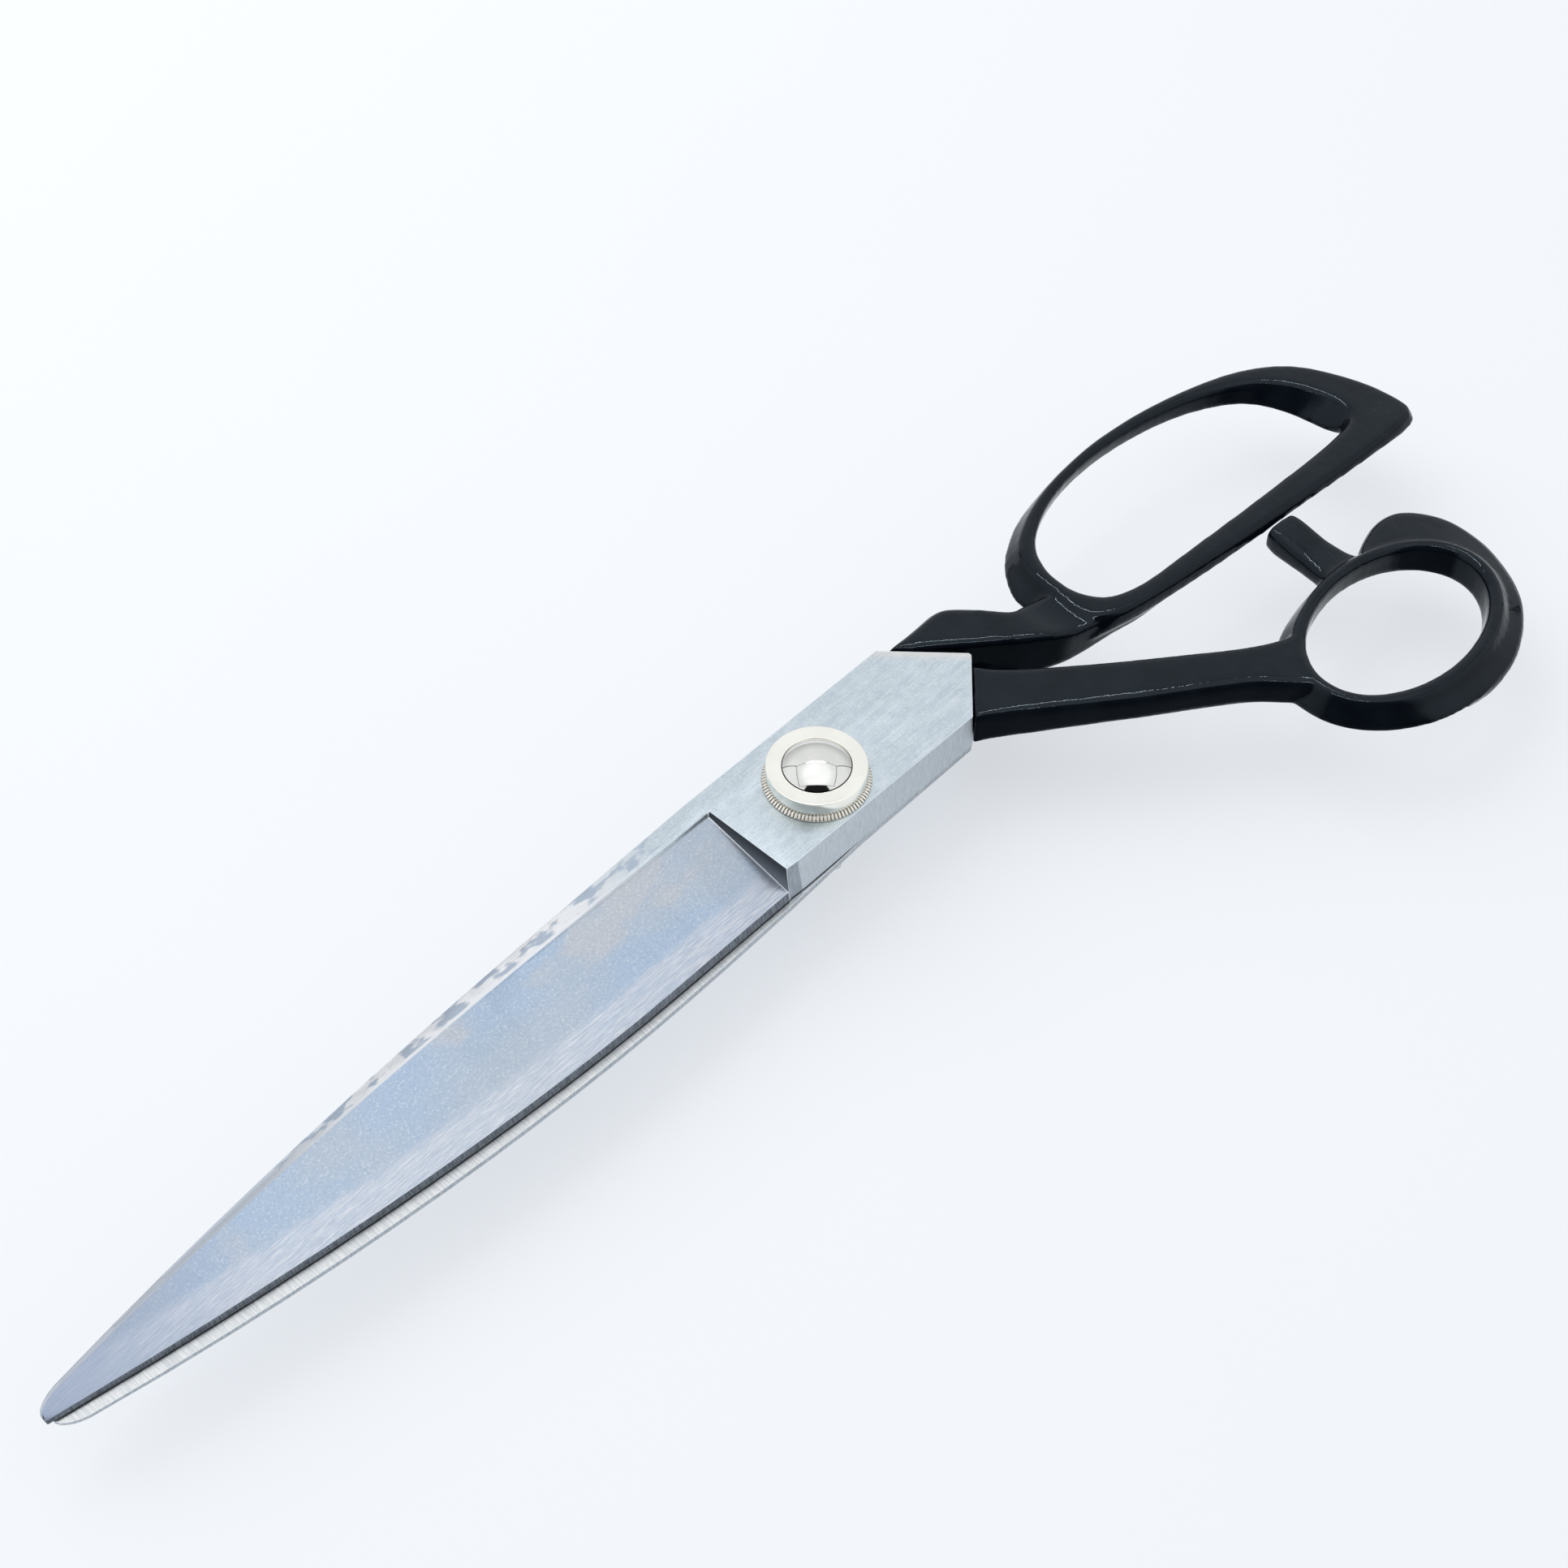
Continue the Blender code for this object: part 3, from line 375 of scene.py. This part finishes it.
def node_points(node):
    return np.array([v.co for v in frame["nodes"][node].data.vertices])


def body_of(node):
    bodies = frame["record"]["behaviour"]["bodies"]
    return next(body for body, members in bodies.items() if node in members)


def finish_piece(ob, node, material):
    """Gives a piece its finish and its body, and hides the CAD node it stands for."""
    ob.data.materials.clear()
    ob.data.materials.append(material)
    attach(ob, body_of(node))
    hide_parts(node)
    return ob


def add_object(name, bm):
    bmesh.ops.recalc_face_normals(bm, faces=bm.faces)
    mesh = bpy.data.meshes.new(name)
    bm.to_mesh(mesh)
    bm.free()
    ob = bpy.data.objects.new(name, mesh)
    bpy.context.scene.collection.objects.link(ob)
    return ob


def welded_copy(name, node):
    """A copy of a CAD node with its split corners joined."""
    bm = bmesh.new()
    bm.from_mesh(frame["nodes"][node].data)
    bmesh.ops.remove_doubles(bm, verts=bm.verts, dist=0.002 * MM)
    return add_object(name, bm)


def apply_modifiers(ob):
    bpy.context.view_layer.update()
    graph = bpy.context.evaluated_depsgraph_get()
    mesh = bpy.data.meshes.new_from_object(ob.evaluated_get(graph))
    ob.modifiers.clear()
    ob.data = mesh


def vertex_arrays(mesh):
    """Places and normals of a mesh's vertices."""
    places = np.zeros(len(mesh.vertices) * 3)
    normals = np.zeros(len(mesh.vertices) * 3)
    mesh.vertices.foreach_get("co", places)
    mesh.vertices.foreach_get("normal", normals)
    return places.reshape(-1, 3), normals.reshape(-1, 3)


def seat_on_block(places):
    """Draws the near corner of the front shank in, flush with the side and the end of the block."""
    plan = places[:, :2] / MM
    along, out = plan @ SHANK_HEADING, plan @ SHANK_ACROSS
    near = np.interp(along, SHANK_NEAR[0], SHANK_NEAR[1])
    flush = np.interp(along, SHANK_FLUSH[0], SHANK_FLUSH[1])
    inner = flush - SHANK_DEPTH
    share = np.clip((out - inner) / (near - inner), 0.0, None)
    moved = (along < SHANK_END) & (out > inner)
    out = np.where(moved, inner + share * (flush - inner), out)
    # The end of the shank slopes towards the block: by up to 1 mm at its near corner
    reach = np.clip((out + 14.9) / 6.2, 0.0, 1.0) * np.clip((33.0 - along) / 3.4, 0.0, 1.0)
    along = along - reach
    result = places.copy()
    for axis in (0, 1):
        result[:, axis] = (along * SHANK_HEADING[axis] + out * SHANK_ACROSS[axis]) * MM
    return result


def set_places(mesh, places):
    mesh.vertices.foreach_set("co", places.astype(np.float32).ravel())
    mesh.update()


def free_of_steel(ob, places, steel_node):
    """Groups the points of a bow by how freely the enamel may flow there: hardly beside the steel."""
    bm = bmesh.new()
    bm.from_mesh(frame["nodes"][steel_node].data)
    steel = BVHTree.FromBMesh(bm)
    bm.free()
    group = ob.vertex_groups.new(name="free")
    group.add(np.nonzero(places[:, 0] >= SEAM_REACH)[0].tolist(), 1.0, "REPLACE")
    for index in np.nonzero(places[:, 0] < SEAM_REACH)[0].tolist():
        gap = steel.find_nearest(Vector(places[index]))[3]
        weight = min(1.0, max(SEAM_SMOOTHING, (gap - SEAM_GAP) / SEAM_FADE))
        group.add([index], weight, "REPLACE")


def make_bow(name, node, steel_node, material, fit=None):
    """An enamelled bow: the CAD shape with its edges flowed round by thick, slightly wavy enamel."""
    ob = welded_copy(name, node)
    remesh = ob.modifiers.new("remesh", "REMESH")
    remesh.mode = "VOXEL"
    remesh.voxel_size = BOW_VOXEL
    apply_modifiers(ob)
    places, _ = vertex_arrays(ob.data)
    if fit:
        places = fit(places)
        set_places(ob.data, places)
    free_of_steel(ob, places, steel_node)
    smooth = ob.modifiers.new("flow", "SMOOTH")
    smooth.factor = 0.5
    smooth.iterations = BOW_SMOOTHING
    smooth.vertex_group = "free"
    apply_modifiers(ob)
    places, normals = vertex_arrays(ob.data)
    lifts = [
        sum(noise.noise(Vector(spot) / (size * MM)) * height for size, height in ENAMEL_WAVES) * MM
        for spot in places
    ]
    set_places(ob.data, places + normals * np.array(lifts)[:, None])
    ob.data.shade_smooth()
    return finish_piece(ob, node, material)


def blade_outline(points, shoulder):
    """Rows of x, lowest y and the y of the highest point, along a blade."""
    rows = []
    for x in np.unique(np.round(points[:, 0], 5)):
        if x > shoulder:
            continue
        here = points[np.abs(points[:, 0] - x) < 2e-5]
        if len(here) > 3:
            rows.append((x, here[:, 1].min(), here[here[:, 2].argmax(), 1]))
    return np.array(rows)


def make_blade(name, node, material, shoulder):
    """A steel half with its long edges eased, carrying its distances from the edge and the crease."""
    ob = welded_copy(name, node)
    bm = bmesh.new()
    bm.from_mesh(ob.data)
    bmesh.ops.dissolve_limit(bm, angle_limit=math.radians(0.6), verts=bm.verts, edges=bm.edges)
    bm.to_mesh(ob.data)
    bm.free()
    bevel = ob.modifiers.new("ease", "BEVEL")
    bevel.width = BLADE_EASE
    bevel.segments = 2
    bevel.limit_method = "ANGLE"
    bevel.angle_limit = math.radians(32)
    apply_modifiers(ob)
    mesh = ob.data
    bm = bmesh.new()
    bm.from_mesh(mesh)
    cut = min(v.co.x for v in bm.verts) + BLADE_CUT
    while cut < shoulder:
        geometry = bm.verts[:] + bm.edges[:] + bm.faces[:]
        bmesh.ops.bisect_plane(bm, geom=geometry, plane_co=(cut, 0.0, 0.0), plane_no=(1.0, 0.0, 0.0))
        cut += BLADE_CUT
    bm.to_mesh(mesh)
    bm.free()
    mesh.shade_smooth()
    mesh.set_sharp_from_angle(angle=math.radians(20))
    rows = blade_outline(node_points(node), shoulder - 1.0 * MM)
    places, _ = vertex_arrays(mesh)
    for key, column in (("edge_gap", 1), ("strip", 2)):
        line = np.interp(places[:, 0], rows[:, 0], rows[:, column])
        layer = mesh.attributes.new(key, "FLOAT", "POINT")
        layer.data.foreach_set("value", ((places[:, 1] - line) / MM).astype(np.float32))
    return finish_piece(ob, node, material)


def turned(name, profile, steps, shape=None):
    """Turns a closed profile of (radius, z) about the pivot axis; shape(index, angle) may move a point."""
    bm = bmesh.new()
    rings = []
    for i in range(steps):
        angle = 2 * math.pi * i / steps
        ring = []
        for j, (radius, z) in enumerate(profile):
            if shape:
                radius, z = shape(j, angle, radius, z)
            ring.append(bm.verts.new((radius * math.cos(angle), radius * math.sin(angle), z)))
        rings.append(ring)
    for i in range(steps):
        here, there = rings[i], rings[(i + 1) % steps]
        for j in range(len(profile)):
            k = (j + 1) % len(profile)
            bm.faces.new((here[j], there[j], there[k], here[k]))
    bmesh.ops.remove_doubles(bm, verts=bm.verts, dist=1e-7)
    ob = add_object(name, bm)
    ob.data.shade_smooth()
    ob.data.set_sharp_from_angle(angle=math.radians(38))
    return ob


def rounded(points, radius, steps=3):
    """Rounds the corners of a closed profile; radius is the most that a corner is cut back."""
    out = []
    n = len(points)
    for i in range(n):
        before, here, after = (Vector(points[k % n]) for k in (i - 1, i, i + 1))
        a, b = before - here, after - here
        cut = min(radius, 0.45 * a.length, 0.45 * b.length)
        if here.x < 1e-9:
            out.append(tuple(here))
            continue
        start, end = here + a.normalized() * cut, here + b.normalized() * cut
        for k in range(steps + 1):
            t = k / steps
            p = start * (1 - t) ** 2 + here * 2 * t * (1 - t) + end * t**2
            out.append((p.x, p.y))
    return out


def make_dome_head(material):
    """The shallow spherical head of the bolt, over its thin straight rim."""
    points = node_points("pivot_bolt")
    radii = np.hypot(points[:, 0], points[:, 1])
    radius = radii.max()
    rim = points[radii > radius - 0.05 * MM][:, 2]
    low, high, top = rim.min(), rim.max(), points[:, 2].max()
    rise = top - high
    sphere = (radius**2 + rise**2) / (2 * rise)
    profile = [(0.0, low), (radius - 0.1 * MM, low), (radius, low + 0.1 * MM)]
    spread = math.asin(radius / sphere)
    for i in range(33):
        angle = spread * (1 - i / 32)
        profile.append((sphere * math.sin(angle), top - sphere * (1 - math.cos(angle))))
    profile[-1] = (0.0, top)
    return finish_piece(turned("dome_head", profile, 128), "pivot_bolt", material)


def make_bolt_shank(material):
    """Square neck, round shank and threaded tail of the pivot bolt."""
    points = node_points("pivot_bolt")
    radii = np.hypot(points[:, 0], points[:, 1])
    head_low = points[radii > radii.max() - 0.05 * MM][:, 2].min()
    tail = points[:, 2].min()
    shank = radii[points[:, 2] < tail + 0.1 * MM].max()
    shank = max(shank, 3.0 * MM)
    block_low = PIVOT_Z + 0.3 * MM
    side = 3.2 * MM
    pitch, depth = 1.0 * MM, 0.28 * MM
    steps = 48
    rows = []
    thread_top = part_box("tension_nut")[1].z + 0.8 * MM
    levels = np.arange(tail, thread_top, pitch / 8)
    for z in levels:
        ring = []
        for i in range(steps):
            angle = 2 * math.pi * i / steps
            phase = ((z / pitch) - i / steps) % 1.0
            ease = min(1.0, (z - tail) / (0.5 * MM), (thread_top - z) / (0.5 * MM))
            lead_in = 0.25 * MM * max(0.0, 1 - (z - tail) / (0.3 * MM))
            r = shank - depth * ease * abs(2 * phase - 1) - lead_in
            ring.append((r * math.cos(angle), r * math.sin(angle), z))
        rows.append(ring)
    for z in (thread_top, block_low - 0.5 * MM):
        rows.append([
            (shank * math.cos(2 * math.pi * i / steps), shank * math.sin(2 * math.pi * i / steps), z)
            for i in range(steps)
        ])
    for z in (block_low, head_low + 0.05 * MM):
        ring = []
        for i in range(steps):
            angle = 2 * math.pi * i / steps
            c, s = math.cos(angle), math.sin(angle)
            r = side / max(abs(c), abs(s))
            r = min(r, side * 1.36)
            ring.append((r * c, r * s, z))
        rows.append(ring)
    bm = bmesh.new()
    rings = [[bm.verts.new(p) for p in ring] for ring in rows]
    for here, there in zip(rings, rings[1:]):
        for i in range(steps):
            k = (i + 1) % steps
            bm.faces.new((here[i], here[k], there[k], there[i]))
    bm.faces.new(rings[0])
    bm.faces.new(rings[-1])
    ob = add_object("bolt_shank", bm)
    ob.data.shade_smooth()
    ob.data.set_sharp_from_angle(angle=math.radians(35))
    return finish_piece(ob, "pivot_bolt", material)


def make_collar(material):
    """The flat ring with the recess that the head sits in."""
    points = node_points("head_collar")
    radii = np.hypot(points[:, 0], points[:, 1])
    head = np.hypot(*node_points("pivot_bolt")[:, :2].T).max()
    outer, bore = radii.max(), radii.min()
    low, top = points[:, 2].min(), points[:, 2].max()
    recess = head + 0.12 * MM
    floor = points[(radii < recess + 0.3 * MM) & (radii > bore + 0.1 * MM)][:, 2].min()
    floor = max(floor, low + 0.4 * MM)
    profile = [(bore, low), (outer, low), (outer, top), (recess, top), (recess, floor), (bore, floor)]
    profile = rounded(profile, 0.2 * MM)
    return finish_piece(turned("collar", profile, 160), "head_collar", material)


def make_washer(material):
    """Serrated washer: radial ribs cut round its bevelled rim."""
    points = node_points("knurled_washer")
    radii = np.hypot(points[:, 0], points[:, 1])
    outer, bore = radii.max(), radii.min()
    low, top = points[:, 2].min(), points[:, 2].max()
    teeth, per_tooth = 90, 8
    slope = outer - 0.75 * MM
    profile = [
        (bore, low), (outer - 0.18 * MM, low),
        (outer - 0.05 * MM, low + 0.06 * MM), (outer, low + 0.16 * MM),
        (outer - 0.04 * MM, low + 0.28 * MM), (outer - 0.16 * MM, low + 0.38 * MM),
        (outer - 0.35 * MM, low + 0.50 * MM), (slope + 0.1 * MM, top - 0.14 * MM),
        (slope - 0.1 * MM, top), (bore, top),
    ]
    groove = [0, 0, 0.3, 0.8, 1.0, 1.0, 1.0, 0.8, 0, 0]

    def cut(j, angle, radius, z):
        phase = (angle * teeth / (2 * math.pi)) % 1.0
        valley = max(0.0, 1 - abs(phase - 0.5) / 0.26)
        amount = groove[j] * valley
        return radius - 0.10 * MM * amount, z - 0.12 * MM * amount * (z > low + 0.2 * MM)

    ob = turned("serrated_washer", profile, teeth * per_tooth, cut)
    layer = ob.data.attributes.new("groove", "FLOAT", "POINT")
    values = []
    for v in ob.data.vertices:
        phase = (math.atan2(v.co.y, v.co.x) * teeth / (2 * math.pi)) % 1.0
        deep = max(0.0, 1 - abs(phase - 0.5) / 0.3)
        reach = math.hypot(v.co.x, v.co.y)
        values.append(1.0 if reach < slope else deep * (v.co.z > low + 0.1 * MM))
    layer.data.foreach_set("value", values)
    return finish_piece(ob, "knurled_washer", material)


def make_flat_ring(name, node, material, round_off):
    """A plain washer with its corners rounded off."""
    points = node_points(node)
    radii = np.hypot(points[:, 0], points[:, 1])
    low, top = points[:, 2].min(), points[:, 2].max()
    profile = [(radii.min(), low), (radii.max(), low), (radii.max(), top), (radii.min(), top)]
    return finish_piece(turned(name, rounded(profile, round_off), 96), node, material)


def make_spring(material):
    """Conical spring washer, following the CAD's sheet from its inner to its outer rim."""
    points = node_points("spring_washer")
    radii = np.hypot(points[:, 0], points[:, 1])
    inner, outer = radii.min(), radii.max()
    low, top = points[:, 2].min(), points[:, 2].max()
    sheet = 0.5 * MM
    inner_level = points[radii < inner + 0.1 * MM][:, 2].mean()
    outer_level = points[radii > outer - 0.1 * MM][:, 2].mean()
    inner_high = inner_level > outer_level
    rise = (top - low - sheet) * (1 if inner_high else -1)
    base = low if inner_high else low - rise
    profile = [(inner, base + rise), (outer, base), (outer, base + sheet), (inner, base + rise + sheet)]
    return finish_piece(turned("cone_spring", rounded(profile, 0.12 * MM), 96), "spring_washer", material)


def make_nut(material):
    """Hexagon nut with turned corners, chamfered bore and flat faces."""
    low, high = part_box("tension_nut")
    points = node_points("tension_nut")
    radii = np.hypot(points[:, 0], points[:, 1])
    bore, corner = radii.min(), radii.max()
    flat = corner * math.cos(math.pi / 6)
    turn = math.atan2(*points[radii.argmax()][1::-1])
    steps = 96
    chamfer = 0.35 * MM
    levels = [
        (bore + chamfer, low.z, 0.0), (flat - 0.25 * MM, low.z, 0.0), (corner, low.z + 0.65 * MM, 1.0),
        (corner, high.z - 0.65 * MM, 1.0), (flat - 0.25 * MM, high.z, 0.0), (bore + chamfer, high.z, 0.0),
        (bore, high.z - chamfer, 0.0), (bore, low.z + chamfer, 0.0),
    ]

    def hexagon(j, angle, radius, z):
        wedge = ((angle - turn + math.pi / 6) % (math.pi / 3)) - math.pi / 6
        if levels[j][2]:
            side = flat / math.cos(math.pi / 6 - abs(wedge))
            blend = (side - (flat - 0.25 * MM)) / (corner - (flat - 0.25 * MM))
            toward = low.z if z < (low.z + high.z) / 2 else high.z
            return side, toward + (z - toward) * blend
        return radius, z

    profile = [(r, z) for r, z, _ in levels]
    return finish_piece(turned("hex_nut", profile, steps, hexagon), "tension_nut", material)


# ---------------------------------------------------------------- stage


def make_floor():
    """A pale floor that glows a little, so that the shadows stay light."""
    bm = bmesh.new()
    corners = ((-1, -1), (1, -1), (1, 1), (-1, 1))
    bm.faces.new([bm.verts.new((FLOOR_REACH * x, FLOOR_REACH * y, 0.0)) for x, y in corners])
    floor = add_object("floor", bm)
    g = Graph("floor_white")
    tone = g.noise((0.01, 0.01, 0.01), 1.0, 0.5)
    g.set("Base Color", g.mix(tone, (0.285, 0.285, 0.285), (0.292, 0.292, 0.292)))
    g.set("Emission Color", (0.552, 0.578, 0.610))
    g.set("Emission Strength", 1.0)
    g.set("Roughness", 0.85)
    g.set("Specular IOR Level", 0.1)
    floor.data.materials.append(g.material)


def make_world():
    """A white light tent: ceiling, walls, dark seams and the dark opening for the camera."""
    world = bpy.data.worlds.new("tent")
    bpy.context.scene.world = world
    world.use_nodes = True
    tree = world.node_tree
    back = tree.nodes["Background"]

    def add(kind, inputs, out=0, **settings):
        node = tree.nodes.new("ShaderNode" + kind)
        for key, value in settings.items():
            setattr(node, key, value)
        for key, value in inputs.items():
            if isinstance(value, bpy.types.NodeSocket):
                tree.links.new(value, node.inputs[key])
            else:
                node.inputs[key].default_value = value
        return node.outputs[out]

    def math_node(operation, a, b=0.0):
        return add("Math", {0: a, 1: b}, operation=operation)

    def fade(value, low, high, start, end):
        inputs = {0: value, 1: low, 2: high, 3: start, 4: end}
        return add("MapRange", inputs, interpolation_type="SMOOTHSTEP")

    ray = add("TexCoord", {}, out="Generated")

    def along(direction):
        return add("VectorMath", {0: ray, 1: tuple(direction)}, out="Value", operation="DOT_PRODUCT")

    a = along(VIEW_AHEAD)
    b = math_node("ABSOLUTE", along(VIEW_RIGHT))
    c = along((0.0, 0.0, 1.0))
    far = math_node("MULTIPLY", a, 1.8)
    side = math_node("MULTIPLY", b, 1.25)
    near = math_node("MULTIPLY", a, -2.2)
    wall = math_node("MAXIMUM", math_node("MAXIMUM", far, side), near)
    ceiling = fade(math_node("SUBTRACT", c, wall), -0.01, 0.03, 0.0, 1.0)
    # Walls: the far one a little dimmer, the front one dim
    level = fade(c, 0.0, 0.55, 0.66, 1.0)
    far_wall = fade(math_node("SUBTRACT", far, side), -0.02, 0.02, 0.0, 0.04)
    level = math_node("SUBTRACT", level, far_wall)
    panel = fade(c, 0.80, 0.95, 1.0, 1.32)
    level = math_node("MULTIPLY", level, math_node("SUBTRACT", 1.0, ceiling))
    level = math_node("ADD", level, math_node("MULTIPLY", panel, ceiling))
    # Seams where the walls and the ceiling meet
    top_seam = fade(math_node("ABSOLUTE", math_node("SUBTRACT", c, wall)), 0.008, 0.03, 0.75, 0.0)
    corner_seam = fade(math_node("ABSOLUTE", math_node("SUBTRACT", far, side)), 0.015, 0.05, 0.75, 0.0)
    corner_seam = math_node("MULTIPLY", corner_seam, math_node("SUBTRACT", 1.0, ceiling))
    seams = math_node("MAXIMUM", top_seam, corner_seam)
    level = math_node("MULTIPLY", level, math_node("SUBTRACT", 1.0, seams))
    # Opening with the camera, dimmer and softly edged
    across = math_node("SUBTRACT", math_node("MULTIPLY", a, OPENING_ACROSS), b)
    under = math_node("SUBTRACT", math_node("MULTIPLY", a, OPENING_UP), c)
    hole = fade(math_node("MINIMUM", across, under), -0.15, 0.25, 1.0, 0.5)
    level = math_node("MULTIPLY", level, hole)
    tint = add("VectorMath", {0: (0.975, 0.99, 1.02), 3: level}, operation="SCALE")
    tree.links.new(tint, back.inputs["Color"])
    back.inputs["Strength"].default_value = 1.0


def make_strip(name, ahead, up, shown):
    """A narrow lamp across the tent that only the polished pieces catch."""
    data = bpy.data.lights.new(name, "AREA")
    data.shape = "RECTANGLE"
    data.size = STRIP_LENGTH
    data.size_y = STRIP_WIDTH
    data.energy = STRIP_RADIANCE * math.pi * STRIP_LENGTH * STRIP_WIDTH
    lamp = bpy.data.objects.new(name, data)
    away = (VIEW_AHEAD * ahead + Vector((0.0, 0.0, up))).normalized()
    lamp.location = VIEW_TARGET + away * STRIP_DISTANCE
    x_axis = VIEW_RIGHT.normalized()
    y_axis = away.cross(x_axis)
    lamp.rotation_euler = Matrix((x_axis, y_axis, away)).transposed().to_euler()
    bpy.context.scene.collection.objects.link(lamp)
    receivers = bpy.data.collections.new(name + "_receivers")
    for ob in shown:
        receivers.objects.link(ob)
    lamp.light_linking.receiver_collection = receivers


def make_lamp():
    """The large soft lamp that casts the shadows; polished pieces don't mirror it."""
    data = bpy.data.lights.new("soft_key", "AREA")
    data.energy = KEY_ENERGY
    data.size = KEY_SIZE
    data.color = (0.97, 0.985, 1.0)
    lamp = bpy.data.objects.new("soft_key", data)
    lamp.location = KEY_PLACE
    lamp.rotation_euler = (VIEW_TARGET - lamp.location).to_track_quat("-Z", "Y").to_euler()
    lamp.visible_glossy = False
    bpy.context.scene.collection.objects.link(lamp)


def make_camera():
    """The camera of the reference view."""
    data = bpy.data.cameras.new("camera")
    data.lens = VIEW_LENS
    data.sensor_width = 36.0
    data.clip_start = 0.01
    camera = bpy.data.objects.new("camera", data)
    camera.location = VIEW_TARGET - VIEW_FORWARD.normalized() * VIEW_DISTANCE
    camera.rotation_euler = VIEW_FORWARD.to_track_quat("-Z", "Y").to_euler()
    bpy.context.scene.collection.objects.link(camera)
    bpy.context.scene.camera = camera


# ---------------------------------------------------------------- build

block = node_points("front_blade")
SHOULDER = block[block[:, 2] > block[:, 2].max() - 0.1 * MM][:, 0].min()

enamel_thumb = enamel_material("enamel_thumb", (103.0, -30.0, 20.0), (0.0, 0.0, 0.0))
enamel_finger = enamel_material("enamel_finger", (140.0, -14.0, 20.0), (38.5, 2.0, 13.0))
chrome = plated_material("chrome", (0.80, 0.80, 0.765), (0.74, 0.74, 0.70), 0.05, polished=True)
bolt_steel = plated_material("bolt_steel", (0.62, 0.62, 0.60), (0.50, 0.50, 0.49), 0.28)
nickel = plated_material("collar_nickel", (0.96, 0.955, 0.88), (0.92, 0.91, 0.83), 0.16)
stained = ("groove", (0.10, 0.07, 0.028))
washer_nickel = plated_material("washer_nickel", (0.95, 0.93, 0.86), (0.88, 0.86, 0.78), 0.22, stained)
brass = plated_material("brass", (0.72, 0.56, 0.28), (0.60, 0.45, 0.22), 0.3)
spring_steel = plated_material("spring", (0.42, 0.43, 0.45), (0.33, 0.34, 0.37), 0.32)
nut_steel = plated_material("nut", (0.74, 0.74, 0.72), (0.64, 0.64, 0.62), 0.24)

polished = [
    make_bow("thumb_bow", "front_handle", "front_blade", enamel_thumb, seat_on_block),
    make_bow("finger_bow", "rear_handle", "rear_blade", enamel_finger),
    make_dome_head(chrome),
]
make_blade("upper_blade", "front_blade", upper_blade_material(SHOULDER / MM), SHOULDER)
make_blade("lower_blade", "rear_blade", lower_blade_material(), SHOULDER)
make_bolt_shank(bolt_steel)
make_collar(nickel)
make_washer(washer_nickel)
make_flat_ring("friction_ring", "friction_washer", brass, 0.12 * MM)
make_spring(spring_steel)
make_nut(nut_steel)
make_strip("far_strip", 0.47, 0.882, polished)
make_strip("near_strip", -0.278, 0.959, polished)
make_floor()
make_world()
make_lamp()
make_camera()
scene = bpy.context.scene
scene.view_settings.view_transform = "Standard"
